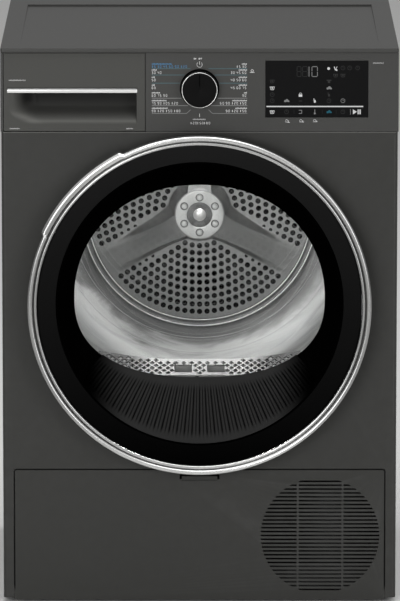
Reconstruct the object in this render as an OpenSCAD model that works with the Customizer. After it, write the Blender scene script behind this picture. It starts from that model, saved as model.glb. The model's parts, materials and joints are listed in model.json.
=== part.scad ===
// Free-standing heat-pump clothes dryer with a round glass door.
// X runs to the right, Y to the rear and Z up. The floor is at z = 0.

/* [Cabinet] */
// Width over the side panels
cabinet_w = 596; // [580:1:610]
// Height of the worktop above the floor
cabinet_h = 850; // [846:1:870]
// Depth from the front panel's face to the worktop's rear edge
cabinet_d = 560; // [555:1:580]
// Overhang of the control panel and the worktop past each side panel
fascia_over = 1; // [0.5:0.1:3]
// Thickness of the sheet steel panels
sheet_t = 1.2; // [0.8:0.1:1.6]
// Rounding of the front panel's upright edges
corner_r = 6; // [4:0.5:9]
// Gap under the cabinet's lower edge
plinth_gap = 7; // [5:0.5:12]
// Thickness of the worktop
worktop_t = 14; // [12:0.5:18]
// Height of the worktop's front edge
worktop_lip = 6.7; // [5:0.1:9]
// Depth of the worktop's recess at its rear end
recess_depth = 3; // [1.5:0.5:5]
// Depth of the worktop and the air duct behind the rear wall
duct_depth = 60; // [50:1:62]

/* [Control panel] */
// Height of the control panel
fascia_h = 119; // [116:1:122]
// Wall of the plastic mouldings
plastic_t = 3; // [2.5:0.1:3.5]
// Setback of the control panel's top edge
fascia_setback = 4; // [2:0.5:6]
// Width of the tank drawer's front
drawer_w = 214; // [205:1:217]
// Radius of the programme knob
knob_r = 27.6; // [24:0.2:29]
// Distance that the knob stands proud of the control panel
knob_proj = 18; // [12:1:24]
// Height of the knob's axis above the control panel's lower edge
knob_rise = 65; // [60:1:70]
// Distance of the display window's middle from the control panel's right end
display_side = 123; // [118:1:126]
// Width of the display window
display_w = 154; // [140:1:160]
// Height of the display window
display_h = 85; // [70:1:90]

/* [Door] */
// Outer radius of the door's trim ring
ring_r = 259; // [257:0.5:260]
// Width of the trim ring's face
ring_w = 14.3; // [12:0.1:16]
// Distance that the closed door stands proud of the cabinet
door_proj = 40; // [38:1:44]
// Distance of the door's centre below the worktop's face
door_drop = 386.5; // [386:0.5:389]
// Overlap of the trim ring on the front panel round the door opening
door_lap = 31; // [28:0.5:32]
// Width of the door's sloping dark frame inside the trim ring
frame_w = 31.1; // [29:0.1:34]
// Depth of the funnel behind the front panel's face
funnel_depth = 80; // [76:1:82]
// Distance of the clear window from the funnel's front edge at the sides
window_side = 20.6; // [19:0.2:33]
// Distance of the clear window from the funnel's front edge at the top
window_over = 36.9; // [32:0.1:46]
// Distance of the clear window from the funnel's front edge at the bottom
window_under = 87.7; // [84:0.1:93]
// Distance of the window's widest line below the middle of the door
window_drop = 7.7; // [6:0.1:9]
// Thickness of the door glass
glass_t = 4; // [3:0.5:5]
// Distance that the handle stands out of the ring
handle_out = 4.9; // [3:0.1:8]
// Radius of the door's hinge pin
pin_r = 3; // [2.5:0.1:3.5]

/* [Drum] */
// Gap between the drum shell and each side panel's face
drum_side = 11; // [10:0.5:14]
// Height of the drum's axis above the door's centre
drum_lift = 62.5; // [61:0.5:64]
// Thickness of the drum's steel
drum_t = 1.2; // [0.8:0.1:1.6]
// Distance of the drum's front rim from the front panel's face
drum_front = 100; // [98:1:104]
// Distance of the perforated plate from the rear wall
plate_gap = 22; // [20:1:26]
// Distance of the raised rim around the perforated plate from the drum shell
rim_in = 101; // [97:1:105]
// Distance of the outermost row of air holes from the raised rim
hole_in = 22.2; // [20:0.2:26]
// Spacing of the air holes
hole_pitch = 11.75; // [11.4:0.05:12]
// Diameter of the air holes
hole_d = 8.2; // [5:0.2:8.4]
// Radius of the hub's flange
hub_r = 37.8; // [34:0.2:40]
// Distance that the hub stands ahead of the perforated plate
hub_rise = 50; // [40:1:56]
// Radius of the drum's shaft
shaft_r = 12; // [10:0.5:14]
// Height of the drum's lifters
lifter_h = 45; // [30:1:48]

/* [Drive] */
// Distance of the motor's axis from the right side panel's face
motor_side = 198; // [193:1:203]
// Height of the motor's axis above the floor
motor_z = 136; // [132:1:138]
// Radius of the motor's body
motor_r = 55; // [48:1:58]
// Radius of the motor's pulley
pulley_r = 9; // [8:0.5:11]
// Radius of the fan's impeller
fan_r = 72; // [60:1:74]
// Radius of the drum's support rollers
roller_r = 24; // [22:0.5:26]
// Angle of the support rollers from straight down
roller_angle = 38; // [34:1:42]
// Radius of the idler pulley
idler_r = 18; // [15:0.5:20]

/* [Kick flap] */
// Distance of the kick flap's ends from the side panels' faces
flap_side = 16.5; // [15:0.5:20]
// Height of the kick flap's top edge above the trim ring's lowest point
flap_lap = 1.8; // [-1:0.1:1.9]
// Radius of the round grille
grille_r = 90; // [80:1:94]
// Distance of the grille's centre from the kick flap's right end
grille_side = 98.5; // [96:0.5:104]
// Distance of the grille's centre below the kick flap's top edge
grille_drop = 102.9; // [100:0.2:106]
// Spacing of the grille's slots
slot_pitch = 6; // [5.5:0.1:6.5]
// Height of each slot
slot_h = 2.6; // [2:0.1:3.2]

/* [Feet and tank] */
// Radius of each foot's pad
foot_r = 20; // [16:1:24]
// Height of the water tank
tank_h = 88; // [80:1:90]
// Depth of the water tank
tank_d = 400; // [360:1:410]

/* [Hidden] */
$fn = 64;

// Clearances
gap = 0.3;
seam = 0.7;
fit = 0.05;

// Planes, from the object's middle
front_y = door_proj - (cabinet_d + door_proj) / 2;
rear_y = front_y + cabinet_d;
wall_y = rear_y - duct_depth;
side_x = cabinet_w / 2;
fascia_x = side_x + fascia_over;
fascia_top = cabinet_h - worktop_lip - seam / 2;
fascia_z = fascia_top - fascia_h;
fascia_d = 28;
panel_top = cabinet_h - worktop_t - gap;
steel = [0.25, 0.25, 0.24];
dark = [0.07, 0.07, 0.07];
chrome = [0.8, 0.8, 0.79];
zinc = [0.68, 0.7, 0.69];
pale = [0.82, 0.82, 0.8];

// Derived places
knob_z = fascia_z + knob_rise;
knob_hole_r = 9;
display_x = fascia_x - display_side;
display_z = fascia_z + 64.3;
drawer_left = fascia_x - 4;
drawer_edge = drawer_left - drawer_w;
grip_z = fascia_z + 58.8;
grip_h = 7.2;
tank_left = side_x - 14;
tank_right = drawer_edge + 9;
tank_top = panel_top - 10;
tank_wall = 2;
housing_wall = 2.5;
tank_y = front_y + 40;
door_z = cabinet_h - door_drop;
door_hole_r = ring_r - door_lap;
ring_in = ring_r - ring_w;
funnel_r = ring_in - frame_w;
window_half_w = funnel_r - window_side;
window_up = funnel_r - window_over;
window_down = funnel_r - window_under;
ring_seat_y = front_y - 24;
ring_front_y = front_y - door_proj;
bead_r = ring_w * 0.28;
handle_from = 116.3;
handle_to = 155.5;
hinge_x = ring_r - 13;
hinge_y = ring_front_y + 16;
hinge_half = 32;
plug_r = funnel_r + 8;
plug_back_r = funnel_r - 14;
glass_y = front_y + funnel_depth;
neck_y = front_y + 88;
drum_r = side_x - drum_side;
drum_z = door_z + drum_lift;
rim_r = drum_r - rim_in;
hole_row_r = rim_r - hole_in;
mouth_r = drum_r - 20;
belt_y = front_y + 300;
belt_w = 8;
belt_t = 2;
wheel_y = front_y + 126;
wheel_w = 16;
wheel_run = drum_r + gap + roller_r;
motor_x = side_x - motor_side;
motor_y = front_y + 318;
motor_len = 110;
fan_y = motor_y + motor_len + 12;
fan_w = 32;
plate_y = wall_y - plate_gap;
hub_y = plate_y - hub_rise;
flap_half_w = side_x - flap_side;
flap_top = door_z - ring_r + flap_lap;
grille_x = flap_half_w - grille_side;
grille_z = flap_top - grille_drop;
flap_t = 12;
flap_axis_y = front_y + 8;
flap_axis_z = plinth_gap + 7;
latch_z = flap_top - 17.5;
flap_bottom = plinth_gap - 3;
foot_x = side_x - 36;
foot_front_y = front_y + 56;
foot_rear_y = wall_y - 40;
tray_z = 14;
tray_floor = 4;
exchanger_left = side_x - 22;
exchanger_w = 220;
exchanger_z = 24;
exchanger_h = 160;
cover_y = front_y + 25;
lever_x = [-exchanger_left + 34, -exchanger_left + exchanger_w - 14];
lever_z = exchanger_z + exchanger_h / 2;
cover_t = 8.7;
fillet_r = drum_r - rim_r - 3;
fillet_y = plate_y - fillet_r;
collar_in = mouth_r + 6.5;
shell_y = front_y + drum_front;
bolt_row_r = hub_r - 10;
load_r = plug_back_r - 4;
sill_z = door_z - window_drop - window_down;
well_half = 110;
lattice_half = 155;
lattice_mid = 36;
lattice_rise = 22;
well_y = neck_y + 6;
well_d = 38;
well_z = sill_z - 38;
slope = 29;
belt_dx = motor_x;
belt_dz = motor_z - drum_z;
belt_l = sqrt(belt_dx * belt_dx + belt_dz * belt_dz);
belt_a = atan2(belt_dz, belt_dx) + acos((drum_r - pulley_r) / belt_l);
idler_run = 78;
idler_x = motor_x + (pulley_r + belt_t + 2 * gap + idler_r) * cos(belt_a) - idler_run * sin(belt_a);
idler_z = motor_z + (pulley_r + belt_t + 2 * gap + idler_r) * sin(belt_a) + idler_run * cos(belt_a);
arm_x = motor_x + motor_r + 30;
arm_z = motor_z - 30;
comp_x = side_x - 93;
comp_y = front_y + 165;
comp_r = 58;

// A block between two corners
module block(low, high) {
    translate(low)
        cube([high[0] - low[0], high[1] - low[1], high[2] - low[2]]);
}

// A flat outline in X and Z, thickened from one Y to another
module upright(from_y, to_y) {
    translate([0, to_y, 0])
        rotate([90, 0, 0])
            linear_extrude(to_y - from_y)
                children();
}

// A full turn about an axis along Y, of an outline in radius and Y
module turned(x, z) {
    translate([x, 0, z])
        rotate([-90, 0, 0])
            rotate_extrude()
                children();
}

// Part of a turn between two angles, counted from +X towards +Z
module turned_part(x, z, from_deg, to_deg) {
    translate([x, 0, z])
        rotate([-90, -to_deg, 0])
            rotate_extrude(angle = to_deg - from_deg)
                children();
}

// Round bars along each direction
module bar_y(x, z, r, from_y, to_y) {
    translate([x, from_y, z])
        rotate([-90, 0, 0])
            cylinder(r = r, h = to_y - from_y);
}

module bar_x(y, z, r, from_x, to_x) {
    translate([from_x, y, z])
        rotate([0, 90, 0])
            cylinder(r = r, h = to_x - from_x);
}

module bar_z(x, y, r, from_z, to_z) {
    translate([x, y, from_z])
        cylinder(r = r, h = to_z - from_z);
}

module rect(x0, x1, z0, z1) {
    translate([x0, z0])
        square([x1 - x0, z1 - z0]);
}

// A rectangle with round corners
module round_rect(x0, x1, z0, z1, r) {
    rect(x0 + r, x1 - r, z0, z1);
    rect(x0, x1, z0 + r, z1 - r);
    for (x = [x0 + r, x1 - r], z = [z0 + r, z1 - r])
        translate([x, z])
            circle(r);
}

// ---- Cabinet ----

module top_panel() {
    skirt = 10;
    start = front_y + fascia_d + gap;
    recess_x = side_x - 28;
    color(steel)
        difference() {
            union() {
                translate([0, 0, cabinet_h - worktop_lip])
                    linear_extrude(worktop_lip)
                        round_rect(-fascia_x, fascia_x, front_y, rear_y, 4);
                block([-fascia_x, start, panel_top + gap],
                    [fascia_x, rear_y - 6, cabinet_h - worktop_lip + 1]);
            }
            block([-side_x + skirt, start + skirt, panel_top],
                [side_x - skirt, rear_y - 6 - skirt, cabinet_h - 5]);
            translate([-recess_x, front_y + 40, cabinet_h])
                rotate([-atan(recess_depth / (cabinet_d - 105)), 0, 0])
                    cube([2 * recess_x, cabinet_d - 104, 10]);
        }
}

module side_panel(side) {
    flange = 14;
    press = 3;
    back = rear_y - 20;
    press_from = front_y + 120;
    press_to = wall_y - 60;
    color(steel)
        mirror([side < 0 ? 1 : 0, 0, 0]) {
            difference() {
                union() {
                    block([side_x - sheet_t, front_y + corner_r + 10, plinth_gap],
                        [side_x, back, panel_top]);
                    block([side_x - flange, back - sheet_t, plinth_gap], [side_x, back, panel_top]);
                    block([side_x - flange, front_y + 80, panel_top - sheet_t],
                        [side_x, back, panel_top]);
                    block([side_x - flange, front_y + 30, plinth_gap],
                        [side_x, back, plinth_gap + sheet_t]);
                    block([side_x - press - sheet_t, press_from, door_z - 213.5],
                        [side_x, press_to, door_z + 186.5]);
                }
                block([side_x - press, press_from + sheet_t, door_z - 213.5 + sheet_t],
                    [side_x + 1, press_to - sheet_t, door_z + 186.5 - sheet_t]);
                block([side_x - flange - 1, front_y, fascia_z - seam],
                    [side_x + 1, front_y + fascia_d + seam, panel_top + 1]);
            }
        }
}

module front_panel() {
    lip = 9;
    top = fascia_z - seam;
    color(steel)
        difference() {
            union() {
                block([-side_x + corner_r, front_y, plinth_gap],
                    [side_x - corner_r, front_y + sheet_t, top]);
                for (side = [0, 1])
                    mirror([side, 0, 0]) {
                        translate([side_x - corner_r, front_y + corner_r, plinth_gap])
                            rotate([0, 0, -90])
                                rotate_extrude(angle = 90)
                                    rect(corner_r - sheet_t, corner_r, 0, top - plinth_gap);
                        block([side_x - sheet_t, front_y + corner_r, plinth_gap],
                            [side_x, front_y + corner_r + lip, top]);
                    }
            }
            bar_y(0, door_z, door_hole_r, front_y - 1, front_y + 5);
            upright(front_y - 1, front_y + 5)
                round_rect(-flap_half_w - seam, flap_half_w + seam, -10, flap_top + seam, 4.5);
            block([hinge_x - 4, front_y - 1, door_z - hinge_half - 2],
                [hinge_x + 4, front_y + 5, door_z + hinge_half + 2]);
            block([-hinge_x - 9, front_y - 1, door_z - 14],
                [-hinge_x + 8, front_y + 5, door_z + 14]);
        }
}

module rear_panel() {
    half = side_x - sheet_t - gap;
    color(zinc)
        upright(wall_y, wall_y + sheet_t)
            difference() {
                rect(-half, half, plinth_gap + 3, panel_top - 2);
                translate([0, drum_z])
                    circle(rim_r - 8);
                translate([motor_x, motor_z])
                    circle(fan_r - 12);
                translate([-side_x + 50, panel_top - 50])
                    circle(11);
            }
}

module duct_outline(inset) {
    translate([0, drum_z])
        circle(rim_r + 14 - inset);
    rect(motor_x - fan_r - 6 + inset, motor_x + fan_r + 6 - inset,
        motor_z - fan_r - 6 + inset, drum_z - 60);
}

module rear_duct_cover() {
    skin = 2.5;
    front = wall_y + sheet_t;
    back = rear_y - 12;
    color(zinc)
        difference() {
            union() {
                upright(front, back)
                    duct_outline(0);
                upright(front, front + skin)
                    duct_outline(-12);
            }
            upright(front - 1, back - skin)
                duct_outline(skin);
        }
}

module base_tray() {
    half = side_x - sheet_t - gap - 15;
    start = front_y + 34;
    end = wall_y - 4;
    color(dark)
        difference() {
            union() {
                block([-half, start, tray_z], [half, end, tray_z + 36]);
                for (side = [-1, 1])
                    block([side * (flap_half_w - 11) - 6, front_y + 4, flap_axis_z - 3],
                        [side * (flap_half_w - 11) + 6, start + 1, flap_axis_z + 20]);
            }
            difference() {
                block([-half + 4, start + 4, tray_z + tray_floor], [half - 4, end - 4, tray_z + 60]);
                for (x = [-foot_x, foot_x], y = [foot_front_y, foot_rear_y])
                    bar_z(x, y, 14, tray_z, tray_z + 34);
            }
            for (x = [-foot_x, foot_x], y = [foot_front_y, foot_rear_y])
                bar_z(x, y, 6, tray_z - 1, tray_z + 50);
            for (side = [-1, 1])
                bar_x(flap_axis_y, flap_axis_z, pin_r + fit, side * (flap_half_w - 11) - 7,
                    side * (flap_half_w - 11) + 7);
        }
}

module foot(x, y) {
    color(dark) {
        bar_z(x, y, foot_r, 0, 6);
        bar_z(x, y, 11, 6, 11);
        bar_z(x, y, 6 - fit, 6, tray_z + 26);
    }
}

module foot_front_left() { foot(-foot_x, foot_front_y); }
module foot_front_right() { foot(foot_x, foot_front_y); }
module foot_rear_left() { foot(-foot_x, foot_rear_y); }
module foot_rear_right() { foot(foot_x, foot_rear_y); }

module cabinet_screws() {
    screw_r = 4;
    color(zinc) {
        for (a = [20 : 40 : 220])
            bar_y((rim_r + 20) * cos(a), drum_z + (rim_r + 20) * sin(a), screw_r,
                wall_y + sheet_t + 2.5, wall_y + sheet_t + 5);
        for (x = [-side_x + 10, side_x - 10], z = [80, 300, 520, 740])
            bar_y(x, z, screw_r, wall_y + sheet_t, wall_y + sheet_t + 2.5);
        for (x = [-side_x + 50, side_x - 50])
            bar_y(x, cabinet_h - worktop_lip - 3.4, 3, rear_y - 6, rear_y - 3);
    }
}

module mains_inlet() {
    x = -side_x + 50;
    z = panel_top - 50;
    color(dark)
        difference() {
            union() {
                bar_y(x, z, 11 - fit, wall_y - 3, wall_y + 14);
                bar_y(x, z, 16, wall_y + sheet_t, wall_y + sheet_t + 4);
            }
            bar_y(x, z, 4.5, wall_y - 4, wall_y + 15);
        }
}

// ---- Control panel ----

// The gently bowed front that all pieces of the control panel share
module bowed() {
    steps = 10;
    intersection() {
        translate([-fascia_x - 1, 0, 0])
            rotate([90, 0, 90])
                linear_extrude(2 * fascia_x + 2)
                    polygon(concat(
                        [for (i = [0 : steps])
                            [front_y + fascia_setback * pow(i / steps, 2), fascia_z + fascia_h * i / steps]],
                        [[front_y + 90, fascia_top], [front_y + 90, fascia_z]]));
        children();
    }
}

module control_panel() {
    color(steel)
        bowed()
            difference() {
                block([-fascia_x, front_y - 1, fascia_z], [fascia_x, front_y + fascia_d, fascia_top]);
                block([-drawer_edge + plastic_t, front_y + 9, fascia_z + plastic_t],
                    [fascia_x - plastic_t, front_y + fascia_d + 1, fascia_top - plastic_t]);
                block([-drawer_left, front_y - 2, fascia_z - 1],
                    [-drawer_edge, front_y + 17, fascia_top + 1]);
                block([-drawer_left, front_y - 2, fascia_z + 5],
                    [-drawer_edge - plastic_t, front_y + fascia_d + 1, fascia_top - 4]);
                bar_y(0, knob_z, knob_hole_r, front_y - 2, front_y + 20);
                difference() {
                    bar_y(0, knob_z, knob_r + 1.8, front_y - 2, front_y + 4.5);
                    bar_y(0, knob_z, knob_hole_r + 3, front_y - 3, front_y + 5);
                }
                block([display_x - display_w / 2 - gap, front_y - 2, display_z - display_h / 2 - gap],
                    [display_x + display_w / 2 + gap, front_y + 7, display_z + display_h / 2 + gap]);
            }
}

module program_knob() {
    rim = 2;
    color(dark)
        difference() {
            union() {
                bar_y(0, knob_z, knob_r, front_y - knob_proj + 3, front_y + 0.8);
                translate([0, front_y - knob_proj + 3, knob_z])
                    rotate([90, 0, 0])
                        cylinder(r1 = knob_r - rim, r2 = knob_r - rim - 2, h = 3);
                bar_y(0, knob_z, knob_hole_r - 1.5, front_y, front_y + 16);
            }
            block([-1.6, front_y - knob_proj - 1, knob_z + 4],
                [1.6, front_y - knob_proj + 1.5, knob_z + knob_r + 1]);
        }
}

module display_window() {
    color(dark)
        bowed()
            block([display_x - display_w / 2, front_y - 1, display_z - display_h / 2],
                [display_x + display_w / 2, front_y + 6.8, display_z + display_h / 2]);
}

module control_board() {
    back = front_y + fascia_d;
    color([0.1, 0.35, 0.2]) {
        difference() {
            union() {
                block([-knob_r - 20, back - 8, fascia_z + 8],
                    [display_x + display_w / 2 + 10, back, fascia_top - 8]);
                block([display_x - display_w / 2 + 6, front_y + 9.3, display_z - display_h / 2 + 6],
                    [display_x + display_w / 2 - 6, back - 7, display_z + display_h / 2 - 6]);
            }
            bar_y(0, knob_z, knob_hole_r - 1, front_y, back - 2);
        }
        for (x = [60, 110, 200])
            block([x, back, knob_z - 24], [x + 26, back + 14, knob_z + 10]);
    }
}

// ---- Water tank ----

module tank_outline(grow) {
    difference() {
        rect(-tank_left - grow, -tank_right + grow, tank_top - tank_h - grow, tank_top + grow);
        translate([0, drum_z])
            circle(drum_r + 14 - grow);
    }
}

module tank_front() {
    left = -drawer_left + seam;
    right = -drawer_edge - seam;
    bottom = fascia_z + seam;
    top = fascia_top - seam;
    color(steel)
        bowed()
            difference() {
                union() {
                    block([left, front_y - 1, bottom], [right, front_y + 16, top]);
                    block([left + 6, front_y + 10, bottom + 8], [right - 3.5, tank_y, top - 10]);
                }
                tank_pocket();
                block([left + 5, front_y - 2, grip_z - gap], [right - 11.6, front_y + 8, grip_z + grip_h + gap]);
            }
}

// Finger pocket under the grip strip
module tank_pocket() {
    intersection() {
        block([-drawer_left + 8, front_y - 2, fascia_z + 6],
            [-drawer_edge - 12.3, front_y + 60, grip_z]);
        bar_x(front_y - 14, grip_z, 48, -drawer_left, -drawer_edge);
    }
}

module tank_grip_trim() {
    left = -drawer_left + seam + 5 + gap;
    right = -drawer_edge - seam - 11.6 - gap;
    color(chrome)
        bowed()
            block([left, front_y - 1, grip_z], [right, front_y + 8 - gap, grip_z + grip_h]);
}

module water_tank() {
    color(pale)
        difference() {
            upright(tank_y, tank_y + tank_d)
                tank_outline(0);
            upright(tank_y + tank_wall, tank_y + tank_d - tank_wall)
                tank_outline(-tank_wall);
            bar_z(-tank_left + 60, tank_y + tank_d - 30, 12, tank_top - 10, tank_top + 10);
        }
}

module tank_housing() {
    start = tank_y + 1;
    end = tank_y + tank_d + 6;
    color(dark) {
        difference() {
            upright(start, end)
                tank_outline(1 + housing_wall);
            upright(start - 1, end - 3)
                tank_outline(1);
        }
        for (x = [-tank_left, -tank_right - 12])
            block([x, end - 1, tank_top - 20], [x + 12, wall_y, tank_top]);
    }
}

// ---- Door ----

module hinge_notch() {
    half = hinge_half + 14;
    bar_z(hinge_x, hinge_y, pin_r + 3, door_z - half, door_z + half);
    block([hinge_x - 2.5, ring_front_y + 7, door_z - half], [ring_r + 2, front_y + 2, door_z + half]);
}

module door_trim_ring() {
    out_bead = bead_r;
    in_bead = ring_w * 0.19;
    color(chrome)
        difference() {
            union() {
                turned(0, door_z) {
                    rect(ring_in, ring_r, ring_front_y + 6, ring_seat_y);
                    rect(ring_r - 2 * out_bead, ring_r, ring_front_y + out_bead, ring_seat_y);
                    translate([ring_r - out_bead, ring_front_y + out_bead])
                        circle(out_bead);
                    rect(ring_in, ring_in + 2 * in_bead, ring_front_y + in_bead + 2, ring_seat_y);
                    translate([ring_in + in_bead, ring_front_y + in_bead + 2])
                        circle(in_bead);
                }
                turned_part(0, door_z, handle_from, handle_to)
                    round_rect(ring_r - 2 * out_bead, ring_r + handle_out,
                        ring_front_y + 0.8, ring_seat_y, 2.5);
            }
            hinge_notch();
        }
}

module door_outer_frame() {
    wall = plastic_t;
    color(dark)
        difference() {
            turned(0, door_z)
                polygon([
                    [ring_r - 2.6, front_y - 3], [ring_r - 2.6, ring_seat_y + 0.1],
                    [ring_in - 0.4, ring_seat_y + 0.1], [ring_in - 0.4, ring_front_y + 9],
                    [ring_in - 3, ring_front_y + 9], [funnel_r, front_y - 8],
                    [funnel_r, front_y - 4], [funnel_r + 2.4, front_y - 4],
                    [ring_in - 3.4, ring_front_y + 13.5], [ring_in - 3.4, ring_seat_y + wall],
                    [ring_r - wall - 2.6, ring_seat_y + wall], [ring_r - wall - 2.6, front_y - 3]
                ]);
            hinge_notch();
            difference() {
                turned_part(0, door_z, handle_from + 2, handle_to - 2)
                    rect(ring_r - 12, ring_r + 2, ring_seat_y + wall + 1, front_y);
                turned(0, door_z)
                    rect(ring_r - 13, ring_r - 12, ring_seat_y, front_y + 1);
            }
        }
}

// Outline of the clear window: a squared oval, lower part flatter than the upper
function window_point(a, grow) = [
    (window_half_w + grow) * sign(cos(a)) * pow(abs(cos(a)), 2 / (sin(a) > 0 ? 2.1 : 2.4)),
    (sin(a) > 0 ? window_up + grow : window_down + grow) * sign(sin(a))
        * pow(abs(sin(a)), 2 / (sin(a) > 0 ? 2.1 : 2.4))
];

module window_outline(grow) {
    translate([0, door_z - window_drop])
        polygon([for (a = [0 : 5 : 355]) window_point(a, grow)]);
}

module funnel_solid(inset) {
    hull() {
        translate([0, front_y - 5.9, door_z])
            rotate([90, 0, 0])
                cylinder(r = funnel_r - 0.2 - inset, h = 0.1, $fn = 72);
        upright(glass_y - 0.1, glass_y)
            window_outline(-inset);
    }
}

module door_funnel() {
    color(dark)
        difference() {
            funnel_solid(0);
            funnel_solid(2.5);
        }
}

module wedge(half_deg) {
    upright(front_y - 20, glass_y + 20)
        translate([0, door_z])
            polygon([[0, 0], [-300 * sin(half_deg), -300 * cos(half_deg)], [0, -420],
                [300 * sin(half_deg), -300 * cos(half_deg)]]);
}

module door_ribbed_apron() {
    half_deg = 54;
    groove_step = 3.3;
    groove_count = 16;
    groove_deg = 0.35;
    color([0.15, 0.15, 0.15])
        difference() {
            intersection() {
                difference() {
                    funnel_solid(2.6);
                    funnel_solid(5);
                }
                wedge(half_deg);
                block([-300, front_y - 4, 0], [300, glass_y - 1, door_z]);
            }
            intersection() {
                funnel_solid(3.8);
                upright(front_y + 9, glass_y - 18)
                    translate([0, door_z])
                        for (i = [-groove_count : groove_count])
                            rotate(i * groove_step)
                                polygon([
                                    [0, 0], [-240 * tan(groove_deg), -240], [240 * tan(groove_deg), -240]
                                ]);
            }
        }
}

module door_glass() {
    color([0.5, 0.55, 0.55, 0.3])
        upright(glass_y + 0.1, glass_y + 0.1 + glass_t)
            window_outline(3);
}

module door_inner_frame() {
    wall = 2.5;
    back = glass_y + glass_t + 0.2;
    color([0.3, 0.3, 0.3]) {
        difference() {
            turned(0, door_z)
                polygon([
                    [ring_r - 6, front_y - 4], [plug_r, front_y - 4], [plug_back_r, back],
                    [plug_back_r - 2, back + 2], [window_half_w - 30, back + 2],
                    [window_half_w - 30, back], [plug_back_r - wall, back],
                    [plug_r - wall, front_y - 4 - wall], [ring_r - 6, front_y - 4 - wall]
                ]);
            upright(back - 1, back + 4)
                window_outline(0);
            hinge_notch();
            turned_part(0, door_z, handle_from, handle_to)
                rect(ring_r - 13, ring_r, front_y - 20, front_y);
        }
    }
}

module door_seal() {
    inner = plug_back_r + 2.8;
    color(dark)
        turned(0, door_z)
            polygon([
                [inner, glass_y - 4], [inner + 6, glass_y - 4], [inner + 6, neck_y - gap],
                [inner, neck_y - gap], [inner, neck_y - 2], [inner + 3, neck_y - 4]
            ]);
}

module door_hinge_leaf() {
    knuckle_r = pin_r + 2.2;
    color(zinc)
        difference() {
            union() {
                for (side = [-1, 1])
                    bar_z(hinge_x, hinge_y, knuckle_r, door_z + side * (hinge_half + 7) - 5.5,
                        door_z + side * (hinge_half + 7) + 5.5);
                for (side = [-1, 1])
                    block([hinge_x - 2, hinge_y, door_z + side * (hinge_half + 7) - 5.5],
                        [hinge_x + 2, front_y - 6.5, door_z + side * (hinge_half + 7) + 5.5]);
                for (side = [-1, 1])
                    block([hinge_x - 5, front_y - 10.5, door_z + side * (hinge_half + 7) - 5.5],
                        [hinge_x + 2, front_y - 6.5, door_z + side * (hinge_half + 7) + 5.5]);
                block([hinge_x - 20, front_y - 10.5, door_z - hinge_half - 12.5],
                    [hinge_x - 3, front_y - 6.5, door_z + hinge_half + 12.5]);
            }
            bar_z(hinge_x, hinge_y, pin_r + fit, door_z - 80, door_z + 80);
        }
}

module hinge_bracket() {
    barrel_r = pin_r + 2.2;
    inner = front_y + sheet_t + 0.1;
    color(zinc)
        difference() {
            union() {
                bar_z(hinge_x, hinge_y, barrel_r, door_z - hinge_half, door_z + hinge_half);
                block([hinge_x - 2, hinge_y, door_z - hinge_half],
                    [hinge_x + 2, inner + 3, door_z + hinge_half]);
                block([hinge_x - 10, inner, door_z - hinge_half - 12],
                    [side_x - 10, inner + 3, door_z + hinge_half + 12]);
            }
            bar_z(hinge_x, hinge_y, pin_r, door_z - 80, door_z + 80);
        }
}

module hinge_pin() {
    color(zinc)
        bar_z(hinge_x, hinge_y, pin_r, door_z - hinge_half - 14, door_z + hinge_half + 14);
}

module door_hook() {
    x = -hinge_x;
    color(zinc) {
        block([x - 6, front_y - 4, door_z - 16], [x + 6, front_y - 2, door_z + 16]);
        block([x - 2, front_y - 3, door_z - 8], [x + 2, front_y + 16, door_z + 8]);
        block([x - 5, front_y + 10, door_z - 8], [x - 1, front_y + 16, door_z + 8]);
    }
}

module door_catch() {
    x = -hinge_x;
    color(dark)
        difference() {
            block([x - 16, front_y + sheet_t + gap, door_z - 24], [x + 12, front_y + 32, door_z + 24]);
            block([x - 9, front_y + 1, door_z - 11], [x + 7, front_y + 26, door_z + 11]);
        }
}

// ---- Drum ----

module front_bulkhead() {
    half = side_x - sheet_t - gap - 15;
    axle_x = wheel_run * sin(roller_angle);
    axle_z = drum_z - wheel_run * cos(roller_angle);
    color([0.75, 0.75, 0.74]) {
        difference() {
            union() {
                turned(0, door_z)
                    rect(door_hole_r, door_hole_r + 2.5, front_y + sheet_t, neck_y + 1);
                upright(neck_y, neck_y + 4)
                    difference() {
                        union() {
                            translate([0, drum_z])
                                circle(drum_r + 6);
                            rect(-half, half, flap_top + 5.7, drum_z + 94);
                        }
                        difference() {
                            translate([0, door_z])
                                circle(load_r);
                            rect(-load_r, load_r, door_z - load_r - 1, sill_z);
                        }
                    }
                turned(0, drum_z)
                    rect(mouth_r - 3, mouth_r, neck_y + 3, shell_y + 10);
                block([-well_half - 3, neck_y + 3, well_z], [well_half + 3, well_y + well_d + 3, sill_z]);
                for (side = [-1, 1]) {
                    bar_y(side * axle_x, axle_z, 5, neck_y + 3, wheel_y + wheel_w + 4);
                    bar_y(side * axle_x, axle_z, 9, neck_y + 3, wheel_y - gap);
                }
            }
            block([-well_half, well_y, well_z + 3], [well_half, well_y + well_d, sill_z + 1]);
        }
    }
}

module drum_felts() {
    color([0.85, 0.83, 0.78]) {
        turned(0, drum_z)
            rect(mouth_r + gap, collar_in - gap, neck_y + 4.1, shell_y + 9);
        turned(0, drum_z)
            rect(rim_r + 8, rim_r + 14, plate_y + gap, wall_y - 0.1);
    }
}

function lattice_far(x) = lattice_mid + lattice_rise * pow(x / lattice_half, 2);

// The lattice is a thin sloping plate with a far edge that curves back
module lattice_outline() {
    polygon(concat([[lattice_half, 0], [-lattice_half, 0]],
        [for (x = [-lattice_half : lattice_half / 10 : lattice_half]) [x, lattice_far(x)]]));
}

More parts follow.
